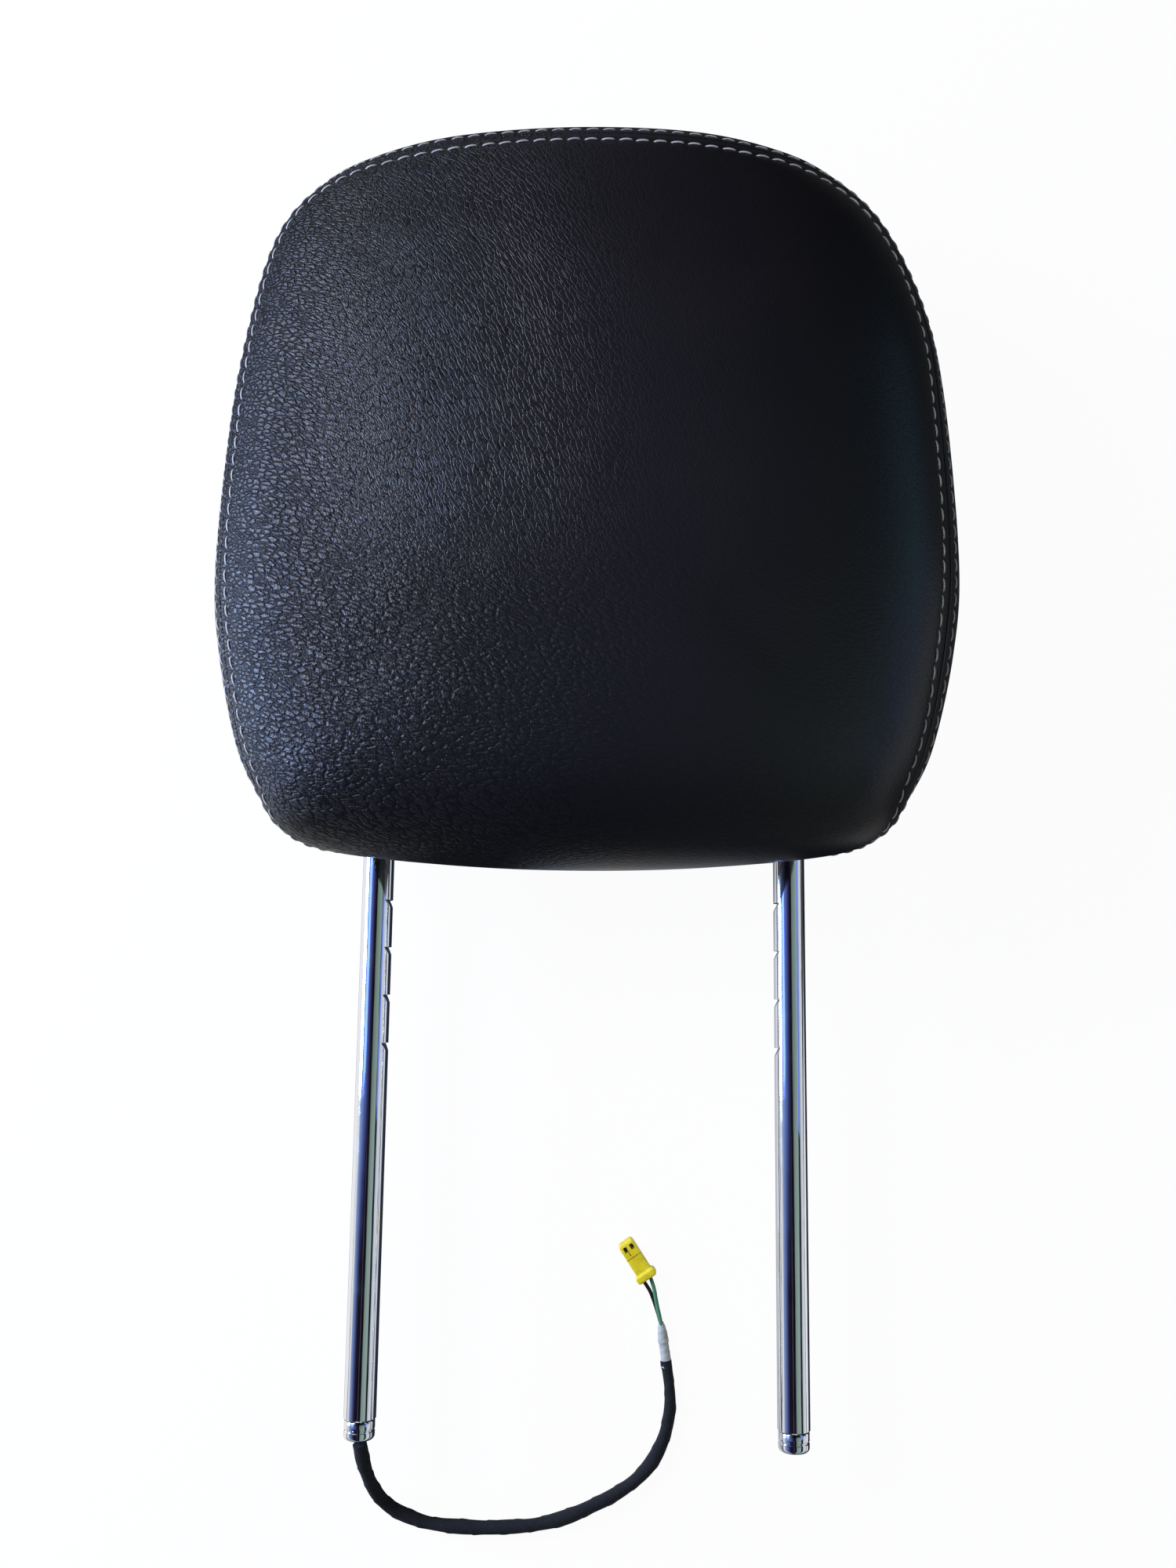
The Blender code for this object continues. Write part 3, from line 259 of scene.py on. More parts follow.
@dataclass(frozen=True)
class Finish:
    """A material with one colour, which the others build on. Sizes are in millimetres."""

    name: str
    colour: str
    roughness: float
    metallic: float = 0.0
    ior: float = 1.5

    def make(self) -> bpy.types.Material:
        """Make the material.

        Returns:
            A material with a Principled shader and this finish's pattern.
        """
        made = bpy.data.materials.new(self.name)
        made.use_nodes = True
        tree = made.node_tree
        shader = tree.nodes["Principled BSDF"]
        shader.inputs["Base Color"].default_value = linear(self.colour)
        shader.inputs["Roughness"].default_value = self.roughness
        shader.inputs["Metallic"].default_value = self.metallic
        if not self.metallic:
            shader.inputs["IOR"].default_value = self.ior
        made.diffuse_color = linear(self.colour)
        self.pattern(tree, shader)
        return made

    def pattern(self, tree: Tree, shader: bpy.types.Node) -> None:
        """Add what the surface shows beyond one colour. The plain finish adds nothing."""


@dataclass(frozen=True)
class GrainedLeather(Finish):
    """Pigmented cowhide with an embossed pebble grain: dark, with a soft satin sheen.

    Pebbles are drawn out along the hide's stretch. That runs almost across at the rim and the
    lower edge, and steeply in the upper middle, where long creases part the pebbles. The tops of
    the pebbles are rubbed smoother than the creases. The creases also get a painted shade, a
    darker colour, strongest towards the left.
    """

    # a painted shade: the darker colour that the creases get
    painted_crease_shade: str = "#060608"
    cast: str = "#171316"
    pebble: float = 1.5
    strand: float = 1.5
    speck: float = 0.9
    depth: float = 0.27
    stretched: float = 0.13

    def cells(self, tree: Tree, place: Socket, size: float, turn: float, drawn: float) -> Socket:
        """Add one layer of cells that are drawn out in one direction.

        Args:
            tree: the material's nodes.
            place: where the pattern is read.
            size: the cells' width.
            turn: the direction they are drawn out in, in degrees.
            drawn: their length over their width.

        Returns:
            The distance to each cell's edge, as a share of the cell's width.
        """
        turned_place = add_node(tree, "Mapping", {"Vector": place,
                                                  "Rotation": (0.0, 0.0, radians(turn)),
                                                  "Scale": (drawn, 1.0, 1.0)},
                                vector_type="TEXTURE")
        return add_node(tree, "TexVoronoi", {"Vector": turned_place.outputs[0],
                                             "Scale": 1000 / size},
                        feature="DISTANCE_TO_EDGE").outputs["Distance"]

    def pattern(self, tree: Tree, shader: bpy.types.Node) -> None:
        """Add the grain's colour, gloss and height.

        Args:
            tree: the material's nodes.
            shader: its Principled shader.
        """
        place = add_node(tree, "TexCoord").outputs["Object"]
        drift = add_node(tree, "TexNoise", {"Vector": place, "Scale": 34.0, "Detail": 1.0})
        drawn = add_node(tree, "VectorMath", {0: drift.outputs["Color"], 1: (0.005, 0.005, 0.0)},
                         operation="MULTIPLY")
        wavy = add_node(tree, "TexNoise", {"Vector": place, "Scale": 520.0, "Detail": 1.0})
        bent = add_node(tree, "VectorMath", {0: wavy.outputs["Color"], 1: (0.0004, 0.0004, 0.0004)},
                        operation="MULTIPLY")
        moved = add_node(tree, "VectorMath", {0: place, 1: drawn.outputs[0]}, operation="ADD")
        moved = add_node(tree, "VectorMath", {0: moved.outputs[0], 1: bent.outputs[0]},
                         operation="ADD").outputs[0]
        rim = self.cells(tree, moved, self.pebble, -17, 3.0)
        middle = self.cells(tree, moved, self.strand, -60, 2.6)
        specks = self.cells(tree, moved, self.speck, -35, 1.4)
        x, y, _ = add_node(tree, "SeparateXYZ", {0: place}).outputs
        share = maths(tree, "MULTIPLY", spread(tree, x, (-0.105, -0.055), ease="SMOOTHSTEP"),
                      spread(tree, y, (0.035, 0.105), ease="SMOOTHSTEP"))
        rim_height = spread(tree, rim, (0.0, 0.27), ease="SMOOTHERSTEP")
        middle_height = spread(tree, middle, (0.0, 0.11), ease="SMOOTHERSTEP")
        grain = add_node(tree, "Mix", {"Factor": share, 2: rim_height, 3: middle_height})
        joined = maths(tree, "MULTIPLY_ADD", spread(tree, specks, (0.0, 0.30)), 0.34,
                       grain.outputs[0])
        height = maths(tree, "MULTIPLY_ADD", noise(tree, place, 2300.0, 2.0), 0.35, joined)
        # the hide is drawn tight over the crown, which flattens its grain there
        relief = spread(tree, x, (-0.105, 0.03), (1.0, self.stretched))
        emboss(tree, shader, height, relief, self.depth)
        # painted shade: where open_share is low, in the creases and mostly towards the left, the
        # colour below is darkened
        open_share = add_node(tree, "Mix", {"Factor": relief, 2: 1.1, 3: joined}).outputs[0]
        tint = tinted(tree, noise(tree, place, 14.0, 3.0), self.colour, self.cast)
        tree.links.new(tinted(tree, open_share, self.painted_crease_shade, tint), shader.inputs["Base Color"])
        gloss = spread(tree, open_share, (0.0, 1.2), (self.roughness + 0.06, self.roughness))
        tree.links.new(gloss, shader.inputs["Roughness"])
        # creases hold dust and shade, so they shine far less than the pebbles
        shine = spread(tree, open_share, (0.0, 1.15), (0.10, 0.56))
        # painted shade: the shine is turned down towards the lower edge, which darkens it
        dull = spread(tree, y, (-0.038, 0.002), (0.35, 1.0), "SMOOTHSTEP")
        tree.links.new(maths(tree, "MULTIPLY", shine, dull), shader.inputs["Specular IOR Level"])


@dataclass(frozen=True)
class BrightChrome(Finish):
    """Bright chrome plate on drawn steel tube: a mirror with faint lengthwise draw lines."""

    drawn: float = 0.7

    def pattern(self, tree: Tree, shader: bpy.types.Node) -> None:
        """Add draw lines along Y, handling haze and a slight waviness.

        Args:
            tree: the material's nodes.
            shader: its Principled shader.
        """
        place = add_node(tree, "TexCoord").outputs["Object"]
        along = add_node(tree, "Mapping", {"Vector": place, "Scale": (1.0, 0.035, 1.0)})
        lines = noise(tree, along.outputs[0], 1000 / self.drawn, 3.0)
        height = maths(tree, "MULTIPLY_ADD", noise(tree, place, 55.0, 1.0), 9.0, lines)
        emboss(tree, shader, height, 0.10, 0.12)
        gloss = spread(tree, noise(tree, place, 90.0, 4.0), (0.45, 0.75),
                       (self.roughness, self.roughness + 0.10))
        tree.links.new(gloss, shader.inputs["Roughness"])


@dataclass(frozen=True)
class GrainedPlastic(Finish):
    """Moulded plastic with a spark-eroded grain: matte and even, a little paler where rubbed."""

    worn: str = "#2A2A2C"
    grain: float = 0.9
    depth: float = 0.06

    def pattern(self, tree: Tree, shader: bpy.types.Node) -> None:
        """Add the moulded grain and rubbed patches.

        Args:
            tree: the material's nodes.
            shader: its Principled shader.
        """
        place = add_node(tree, "TexCoord").outputs["Object"]
        cells = add_node(tree, "TexVoronoi", {"Vector": place, "Scale": 1000 / self.grain},
                         feature="SMOOTH_F1")
        height = maths(tree, "MULTIPLY_ADD", noise(tree, place, 2400.0, 2.0), 0.5,
                       cells.outputs[0])
        emboss(tree, shader, height, 0.5, self.depth)
        rubbed = noise(tree, place, 30.0, 5.0)
        tint = tinted(tree, spread(tree, rubbed, (0.45, 0.8)), self.colour, self.worn)
        tree.links.new(tint, shader.inputs["Base Color"])
        gloss = spread(tree, rubbed, end=(self.roughness + 0.08, self.roughness - 0.08))
        tree.links.new(gloss, shader.inputs["Roughness"])


@dataclass(frozen=True)
class PlatedSteel(Finish):
    """Pressed or drawn steel with a zinc or oil finish: grey, streaky and half glossy."""

    dull: str = "#8A8C90"

    def pattern(self, tree: Tree, shader: bpy.types.Node) -> None:
        """Add the plating's spangle and streaks.

        Args:
            tree: the material's nodes.
            shader: its Principled shader.
        """
        place = add_node(tree, "TexCoord").outputs["Object"]
        streak = add_node(tree, "Mapping", {"Vector": place, "Scale": (0.15, 1.0, 1.0)})
        lines = noise(tree, streak.outputs[0], 900.0, 3.0)
        tint = tinted(tree, noise(tree, place, 120.0, 4.0), self.colour, self.dull)
        tree.links.new(tint, shader.inputs["Base Color"])
        gloss = spread(tree, lines, end=(self.roughness - 0.1, self.roughness + 0.15))
        tree.links.new(gloss, shader.inputs["Roughness"])
        emboss(tree, shader, lines, 0.3, 0.03)


@dataclass(frozen=True)
class ClothTape(Finish):
    """Woven or fleece tape wound on a lead: matte, fibrous, with threads across the winding.

    The pattern follows the piece's own map, whose u runs round it and whose v runs along it, both
    in millimetres.
    """

    thread: float = 0.9
    thread_colour: str = "#1C1D21"
    smudge: str = "#060607"
    depth: float = 0.12

    def pattern(self, tree: Tree, shader: bpy.types.Node) -> None:
        """Add the threads, fluff and handling marks.

        Args:
            tree: the material's nodes.
            shader: its Principled shader.
        """
        place = add_node(tree, "UVMap", uv_map="UVMap").outputs[0]
        turned = add_node(tree, "Mapping", {"Vector": place, "Rotation": (0.0, 0.0, radians(38))})
        step = 1 / self.thread
        warp, weft = (
            add_node(tree, "TexWave", {"Vector": turned.outputs[0], "Scale": step / 3.2,
                                       "Distortion": 1.6, "Detail": 1.0, "Detail Scale": 2.0},
                     bands_direction=way).outputs["Fac"]
            for way in ("X", "Y")
        )
        woven = maths(tree, "MULTIPLY", warp, weft)
        fluff = noise(tree, place, 2.2 * step, 4.0, Roughness=0.7)
        height = maths(tree, "MULTIPLY_ADD", fluff, 1.3, woven)
        emboss(tree, shader, height, 0.8, self.depth)
        tint = tinted(tree, spread(tree, height, (0.5, 1.5)), self.colour, self.thread_colour)
        marked = spread(tree, noise(tree, place, 0.12, 3.0), (0.5, 0.75), (0.0, 0.7))
        tree.links.new(tinted(tree, marked, tint, self.smudge), shader.inputs["Base Color"])


@dataclass(frozen=True)
class MouldedPlastic(Finish):
    """Smooth moulded plastic: even colour, slight flow marks and a satin gloss."""

    shadow: str = "#B9A80F"

    def pattern(self, tree: Tree, shader: bpy.types.Node) -> None:
        """Add flow marks in colour and height.

        Args:
            tree: the material's nodes.
            shader: its Principled shader.
        """
        place = add_node(tree, "TexCoord").outputs["Object"]
        flow = noise(tree, place, 260.0, 3.0)
        tint = tinted(tree, spread(tree, flow, (0.4, 0.9)), self.colour, self.shadow)
        tree.links.new(tint, shader.inputs["Base Color"])
        emboss(tree, shader, flow, 0.3, 0.05)


FINISHES: dict[Slot, Finish] = {
    # back shell and post sockets: black ABS, moulded with a fine grain
    Slot.SHELL: GrainedPlastic("moulded ABS", "#161618", 0.55),
    # carrier and impact plate: glass-filled polyamide, dark grey and dry
    Slot.CARRIER: GrainedPlastic("glass filled polyamide", "#3C3D40", 0.6, worn="#56575B"),
    # posts and their ends: bright chrome over nickel on steel tube
    Slot.CHROME: BrightChrome("bright chrome", "#E4E6EA", 0.045, metallic=1.0),
    # bridges, screws, rods, latch and solenoid frame: zinc plated steel
    Slot.ZINC: PlatedSteel("zinc plated steel", "#B9BDC2", 0.34, metallic=1.0),
    # springs: patented wire, oiled
    Slot.SPRING: PlatedSteel("oiled spring steel", "#6E6E72", 0.38, metallic=1.0,
                             dull="#4A4A4E"),
    # solenoid winding: enamelled copper under varnish
    Slot.COIL: MouldedPlastic("varnished copper winding", "#8C4A22", 0.32, shadow="#5E2C12"),
    # guide bushes and solenoid plug: natural acetal
    Slot.NATURAL: MouldedPlastic("natural acetal", "#E2DECF", 0.42, shadow="#D2CDBB"),
    # loom: fleece tape, wound with an overlap
    Slot.LOOM: ClothTape("fleece harness tape", "#07080A", 0.9),
    # sleeve: white cloth tape, greyed by handling
    Slot.WHITE_TAPE: ClothTape("white cloth tape", "#A9ACA2", 0.75, thread=0.5,
                               thread_colour="#CBCCC2", smudge="#6E7268", depth=0.06),
    # wires: soft PVC insulation
    Slot.BLACK_WIRE: MouldedPlastic("black PVC", "#0B0B0C", 0.38, shadow="#151516"),
    Slot.GREEN_WIRE: MouldedPlastic("green PVC", "#4C8A62", 0.4, shadow="#3A7350"),
    # connector: polyester moulding
    Slot.YELLOW: MouldedPlastic("yellow PBT", "#F2DC1E", 0.42, shadow="#D8B814"),
    # cover: black pigmented cowhide
    Slot.LEATHER: GrainedLeather("pigmented leather", "#08090C", 0.38, ior=1.5),
    # pad: moulded polyurethane foam, yellowed
    Slot.FOAM: GrainedPlastic("moulded PUR foam", "#CDBF96", 0.95, worn="#B9A878", grain=1.6,
                              depth=0.5),
}
# polyester sewing thread, light grey, twisted, with a soft lustre
THREAD = MouldedPlastic("polyester thread", "#ABA8A3", 0.65, shadow="#86837F")


# ---------------------------------------------------------------- mesh tools


def loft(work: bmesh.types.BMesh, rings: Sequence[Sequence[Sequence[float]]],
         closed: bool = True, capped: bool = False) -> list[list[bmesh.types.BMVert]]:
    """Draw a ring or line of points out through others.

    Args:
        work: the mesh that gets the faces.
        rings: the points of each ring, as many in each.
        closed: whether each ring closes on itself.
        capped: whether the first and last ring get a face.

    Returns:
        The vertices of each ring.
    """
    corners = [work.verts.new(point) for point in rings[0]]

    def edges_of(line: list[bmesh.types.BMVert]) -> list[bmesh.types.BMEdge]:
        """Find or make the edges along a line of vertices."""
        follow = line[1:] + line[:1] if closed else line[1:]
        return [work.edges.get(pair) or work.edges.new(pair) for pair in zip(line, follow)]

    made = [corners]
    edges = edges_of(corners)
    if capped:
        work.faces.new(corners)
    for ring in rings[1:]:
        drawn = {g for g in bmesh.ops.extrude_edge_only(work, edges=edges)["geom"]
                 if isinstance(g, bmesh.types.BMVert)}
        corners = [
            next(e.other_vert(old) for e in old.link_edges if e.other_vert(old) in drawn)
            for old in corners
        ]
        for corner, point in zip(corners, ring):
            corner.co = point
        edges = edges_of(corners)
        made.append(corners)
    if capped:
        work.faces.new(corners)
    return made


def finished(name: str, work: bmesh.types.BMesh, finish: bpy.types.Material,
             sharp: float = 40.0, outward: bool = True) -> bpy.types.Object:
    """Turn a bmesh into a piece of the scene.

    Args:
        name: the piece's name.
        work: its mesh, which is freed.
        finish: its material.
        sharp: edges that turn more than this many degrees stay sharp.
        outward: whether the faces' directions are worked out again.

    Returns:
        The piece.
    """
    if outward:
        bmesh.ops.recalc_face_normals(work, faces=work.faces[:])
    mesh = bpy.data.meshes.new(name)
    work.to_mesh(mesh)
    work.free()
    mesh.shade_smooth()
    mesh.set_sharp_from_angle(angle=radians(sharp))
    mesh.materials.append(finish)
    made = bpy.data.objects.new(name, mesh)
    bpy.context.scene.collection.objects.link(made)
    return made


def smooth_curve(points: Sequence[Sequence[float]], closed: bool = False,
                 fineness: int = 24) -> np.ndarray:
    """Draw a smooth curve through points.

    Args:
        points: the points it passes.
        closed: whether it closes on itself.
        fineness: steps between two points.

    Returns:
        Close-set points, one a row.
    """
    route = np.array(points, float)
    if closed:
        ends = np.concatenate([route[-1:], route, route[:2]])
    else:
        ends = np.concatenate([[2 * route[0] - route[1]], route, [2 * route[-1] - route[-2]]])
    share = (np.arange(fineness) / fineness)[:, None]
    dense = [
        0.5 * (2 * b + (c - a) * share + (2 * a - 5 * b + 4 * c - d) * share**2
               + (3 * b - a - 3 * c + d) * share**3)
        for a, b, c, d in zip(ends, ends[1:], ends[2:], ends[3:])
    ]
    return np.concatenate([*dense, ends[-2:-1]])


def even_steps(curve: np.ndarray, count: int) -> np.ndarray:
    """Read a curve at even steps.

    Args:
        curve: its points, one a row.
        count: how many points to give, both ends among them.

    Returns:
        The points, one a row.
    """
    gone = gone_along(curve)
    at = np.linspace(0, gone[-1], count)
    return np.stack([np.interp(at, gone, column) for column in curve.T], axis=1)


def gone_along(line: np.ndarray) -> np.ndarray:
    """The distance gone along a line at each of its points."""
    return np.concatenate([[0], np.cumsum(np.linalg.norm(np.diff(line, axis=0), axis=1))])


def length_of(line: np.ndarray) -> float:
    """The length of a line of points."""
    return float(np.linalg.norm(np.diff(line, axis=0), axis=1).sum())


def eased(share: np.ndarray) -> np.ndarray:
    """A share from nought to one that leaves and arrives gently."""
    return share**2 * (3 - 2 * share)


def nearest(points: np.ndarray, line: np.ndarray) -> np.ndarray:
    """Measure how far points are from a line of close-set points.

    Args:
        points: the points, one a row.
        line: the line's points, one a row.

    Returns:
        Each point's distance.
    """
    far = np.full(len(points), np.inf)
    for part in np.array_split(line, max(1, len(line) // 50)):
        apart = np.linalg.norm(points[:, None] - part[None], axis=2)
        far = np.minimum(far, apart.min(axis=1))
    return far


def quarter(steps: int) -> list[float]:
    """The turns of a quarter circle, in radians, both ends among them."""
    return [pi / 2 * n / steps for n in range(steps + 1)]


def attach(piece: bpy.types.Object, body: Body, slot: Slot, *nodes: str) -> None:
    """Put a piece on its body and hide the CAD nodes that it is drawn in place of.

    Args:
        piece: the piece.
        body: the body it rides on.
        slot: its material slot; not used.
        *nodes: the CAD nodes that it is drawn in place of.
    """
    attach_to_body(piece, body.value)
    if nodes:
        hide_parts(*nodes)


def tube(name: str, line: np.ndarray, radius: Callable[[float, float], float],
         finish: bpy.types.Material, sides: int = 24) -> bpy.types.Object:
    """Make a closed tube along a line, with a map in millimetres round and along it.

    Args:
        name: the piece's name.
        line: its centre line, one point a row.
        radius: the radius for a distance along it and a turn round it, in metres and radians.
        finish: its material.
        sides: points round it.

    Returns:
        The piece.
    """
    gone = gone_along(line)
    ways = np.gradient(line, axis=0)
    ways /= np.linalg.norm(ways, axis=1)[:, None]
    up = Vector((0.0, 0.0, 1.0))
    if abs(ways[0][2]) > 0.9:
        up = Vector((1.0, 0.0, 0.0))
    rings = []
    for along, centre, way in zip(gone, line, ways):
        way = Vector(way)
        up = (up - way * up.dot(way)).normalized()
        across = way.cross(up)
        turns = [tau * step / sides for step in range(sides)]
        rings.append([Vector(centre) + (across * cos(t) + up * sin(t)) * radius(along, t)
                      for t in turns])
    work = bmesh.new()
    corners = loft(work, rings, capped=True)
    where = {}
    for ring, along in zip(corners, gone):
        for step, corner in enumerate(ring):
            where[corner] = (step, along * 1000)
    layer = work.loops.layers.uv.new("UVMap")
    around = tau * radius(gone[len(gone) // 2], 0.0) * 1000
    for face in work.faces:
        steps = [where[loop.vert][0] for loop in face.loops]
        wraps = max(steps) - min(steps) > sides / 2
        for loop, step in zip(face.loops, steps):
            turn = step + sides if wraps and step < sides / 2 else step
            loop[layer].uv = (around * turn / sides, where[loop.vert][1])
    return finished(name, work, finish, sharp=60.0)


def turned(name: str, profile: Profile, finish: bpy.types.Material, x: float, level: float,
           steps: int = 96, sharp: float = 40.0, closed: bool = False) -> bpy.types.Object:
    """Spin a profile round a line that runs along Y.

    Args:
        name: the piece's name.
        profile: (radius, y) pairs in metres. It starts and ends on the line, or closes.
        finish: its material.
        x: where the line is, across.
        level: where the line is, upwards.
        steps: faces round it.
        sharp: edges that turn more than this many degrees stay sharp.
        closed: whether the profile closes on itself, as for a ring.

    Returns:
        The piece.
    """
    work = bmesh.new()
    corners = [work.verts.new((x + radius, y, level)) for radius, y in profile]
    pairs = list(zip(corners, corners[1:] + corners[:1] if closed else corners[1:]))
    edges = [work.edges.new(pair) for pair in pairs]
    bmesh.ops.spin(work, geom=corners + edges, cent=(x, 0.0, level), axis=(0.0, 1.0, 0.0),
                   angle=tau, steps=steps, use_merge=True)
    bmesh.ops.remove_doubles(work, verts=work.verts[:], dist=1e-6)
    return finished(name, work, finish, sharp)


def swell(piece: bpy.types.Object, held: Sequence[int], cap: float, pressure: float = 4.0,
          frames: int = 20, even: int = 160) -> None:
    """Fill a padded piece by cloth simulation, and keep the result in its mesh.

    Args:
        piece: the piece, whose mesh is moved.
        held: the vertices that stay where they are.
        cap: the furthest that a point may move, in metres.
        pressure: the pressure under the cloth.
        frames: how long the simulation runs.
        even: how often its rise is evened out between neighbours, so that no crease is left.
    """
    start = np.array([v.co for v in piece.data.vertices])
    outwards = np.array([v.normal for v in piece.data.vertices])
    group = piece.vertex_groups.new(name="held")
    group.add(list(held), 1.0, "REPLACE")
    cloth = piece.modifiers.new("fill", "CLOTH")
    cloth.settings.vertex_group_mass = group.name
    cloth.settings.use_pressure = True
    cloth.settings.uniform_pressure_force = pressure
    cloth.settings.effector_weights.gravity = 0.0
    cloth.point_cache.frame_start, cloth.point_cache.frame_end = 1, frames
    for frame in range(1, frames + 1):
        bpy.context.scene.frame_set(frame)
    shown = piece.evaluated_get(bpy.context.evaluated_depsgraph_get()).to_mesh()
    moved = np.array([v.co for v in shown.vertices]) - start
    piece.modifiers.remove(cloth)
    piece.vertex_groups.remove(group)
    bpy.context.scene.frame_set(1)
    rise = np.clip((moved * outwards).sum(axis=1), 0.0, cap)
    ends = np.array([edge.vertices[:] for edge in piece.data.edges])
    count = np.bincount(ends.ravel(), minlength=len(rise))
    for _ in range(even):
        total = np.bincount(ends[:, 0], rise[ends[:, 1]], len(rise))
        total += np.bincount(ends[:, 1], rise[ends[:, 0]], len(rise))
        rise = (rise + total / count) / 2
        rise[list(held)] = 0.0
    piece.data.vertices.foreach_set("co", (start + outwards * rise[:, None]).ravel())
    piece.data.update()


def subdivide_for_good(piece: bpy.types.Object, levels: int = 1) -> None:
    """Give a piece a subdivision surface and keep its result as the mesh.

    Args:
        piece: the piece.
        levels: how often each face is split.
    """
    smooth = piece.modifiers.new("smooth", "SUBSURF")
    smooth.levels = smooth.render_levels = levels
    shown = piece.evaluated_get(bpy.context.evaluated_depsgraph_get())
    old = piece.data
    piece.data = bpy.data.meshes.new_from_object(shown)
    piece.data.name = piece.name
    bpy.data.meshes.remove(old)
    piece.modifiers.clear()


# ---------------------------------------------------------------- the cushion's form


@dataclass
class CushionForm:
    """The cushion's outer form, which its cover, foam and shell share. Lengths are in metres.

    A place on it is a share of the way round from the middle of the top edge, clockwise, and a
    distance from the middle of the front over the face, down the side and on to the back.
    """

    width: float = 0.274
    height: float = 0.289
    depth: float = 0.112
    widest: float = 0.076
    parting: float = 0.0468
    middle_y: float = 0.10375
    crown_power: float = 6.0
    back_power: float = 3.2
    back_flattening: float = 1.04
    half_outline: tuple[Pair, ...] = (
        (0.0, 1.0), (0.38, 0.988), (0.617, 0.954), (0.755, 0.908), (0.858, 0.842),
        (0.928, 0.733), (0.976, 0.585), (1.0, 0.38), (0.978, 0.265), (0.92, 0.15),
        (0.856, 0.0886), (0.79, 0.045), (0.66, 0.02), (0.33, 0.0045), (0.0, 0.0),
    )
    # inset and level from the parting line over the rounded top edge to the middle of the front
    top_profile: tuple[Pair, ...] = (
        (0.0061, 0.0468), (0.0037, 0.0560), (0.0026, 0.0640), (0.0032, 0.0730), (0.0053, 0.0800),
        (0.0083, 0.0862), (0.0117, 0.0918), (0.0153, 0.0966), (0.0195, 0.1006), (0.0252, 0.1037),
        (0.0360, 0.1064), (0.0500, 0.1084), (0.0750, 0.1105), (0.1000, 0.1115), (0.1370, 0.1120),
    )
    top_blend: Pair = (0.06, 0.205)
    lean: float = 0.0017
    top_lean: float = -0.0050
    slack: float = 0.0010
    around: np.ndarray = field(init=False)
    scale: np.ndarray = field(init=False)
    level: np.ndarray = field(init=False)
    top_scale: np.ndarray = field(init=False)
    top_level: np.ndarray = field(init=False)
    gone: np.ndarray = field(init=False)
    at_widest: float = field(init=False)

    def __post_init__(self) -> None:
        """Work out the outline and the profile as close-set points."""
        right = [(x * self.width / 2, (y - 0.5) * self.height) for x, y in self.half_outline]
        left = [(-x, y) for x, y in reversed(right[1:-1])]
        self.around = even_steps(smooth_curve(right + left, closed=True), 2401)
        self.around /= (self.width / 2, self.height / 2)
        shares = 1 - (1 - np.linspace(0, 1, 800)) ** 3
        front = self.widest + (self.depth - self.widest) * np.sqrt(1 - shares**self.crown_power)
        back = np.linspace(self.widest, 0.0, 400)[1:]
        self.scale = np.concatenate([shares, self.back_scale(back)])
        self.level = np.concatenate([front, back])
        steps = np.hypot(np.diff(self.scale) * self.width / 2, np.diff(self.level))
        self.gone = np.concatenate([[0], np.cumsum(steps)])
        self.at_widest = float(self.gone[799])
        over = smooth_curve(self.top_profile[::-1])
        far = np.concatenate([[0], np.cumsum(np.hypot(*np.diff(over, axis=0).T))])
        far *= self.at_level(self.parting) / far[-1]
        self.top_scale = np.interp(self.gone, far, 1 - over[:, 0] / (self.width / 2))
        self.top_level = np.interp(self.gone, far, over[:, 1])

    def back_scale(self, level: np.ndarray) -> np.ndarray:
        """The outline's share of its widest, at levels behind the widest one."""
        fall = (self.widest - level) / (self.widest * self.back_flattening)
        return (1 - fall**2) ** (1 / self.back_power)

    def at_level(self, level: float) -> float:
        """The distance from the middle at which a level behind the widest one is reached."""
        return float(np.interp(-level, -self.level[799:], self.gone[799:]))

    def point(self, share: np.ndarray, distance: np.ndarray) -> np.ndarray:
        """Find places on the form.

        Args:
            share: shares of the way round.
            distance: distances from the middle of the front.

        Returns:
            The points, one a row.
        """
        share, distance = np.broadcast_arrays(share, distance)
        round_it = np.mod(share, 1.0) * (len(self.around) - 1)
        steps = np.arange(len(self.around))
        x = np.interp(round_it, steps, self.around[:, 0])
        y = np.interp(round_it, steps, self.around[:, 1])
        from_top = np.minimum(np.mod(share, 1.0), 1 - np.mod(share, 1.0))
        start, end = self.top_blend
        side = eased(np.clip((from_top - start) / (end - start), 0, 1))
        scale = (1 - side) * np.interp(distance, self.gone, self.top_scale)
        scale += side * np.interp(distance, self.gone, self.scale)
        level = (1 - side) * np.interp(distance, self.gone, self.top_level)
        level += side * np.interp(distance, self.gone, self.level)
        half = self.width / 2
        along = half * scale + (self.height / 2 - half) * np.minimum(1.0, scale / 0.4)
        free = eased(np.clip((level - self.parting) / 0.024, 0, 1))
        across = (half - self.slack * free) * scale
        high = eased(np.clip((y * self.height / 2 - 0.042) / 0.092, 0, 1))
        moved = self.lean + self.top_lean * high
        return np.stack([x * across + moved * free, self.middle_y + y * along, level], axis=-1)

    def flat_inward(self, share: np.ndarray) -> np.ndarray:
        """The inward directions across the outline at the parting line, one a row."""
        edge = np.array(self.at_level(self.parting))
        step = (self.point(share + 0.001, edge) - self.point(share - 0.001, edge))[:, :2]
        inward = np.stack([step[:, 1], -step[:, 0]], axis=1)
        return inward / np.linalg.norm(inward, axis=1, keepdims=True)

    def normal(self, share: np.ndarray, distance: np.ndarray) -> np.ndarray:
        """The outward directions at places on the form, one a row."""
        share, distance = np.broadcast_arrays(share, distance)
        step, turn = 0.0004, 0.0006
        along = self.point(share, distance + step) - self.point(share, distance - step)
        across = self.point(share + turn, distance) - self.point(share - turn, distance)
        out = np.cross(across, along)
        return out / np.maximum(np.linalg.norm(out, axis=-1, keepdims=True), 1e-12)


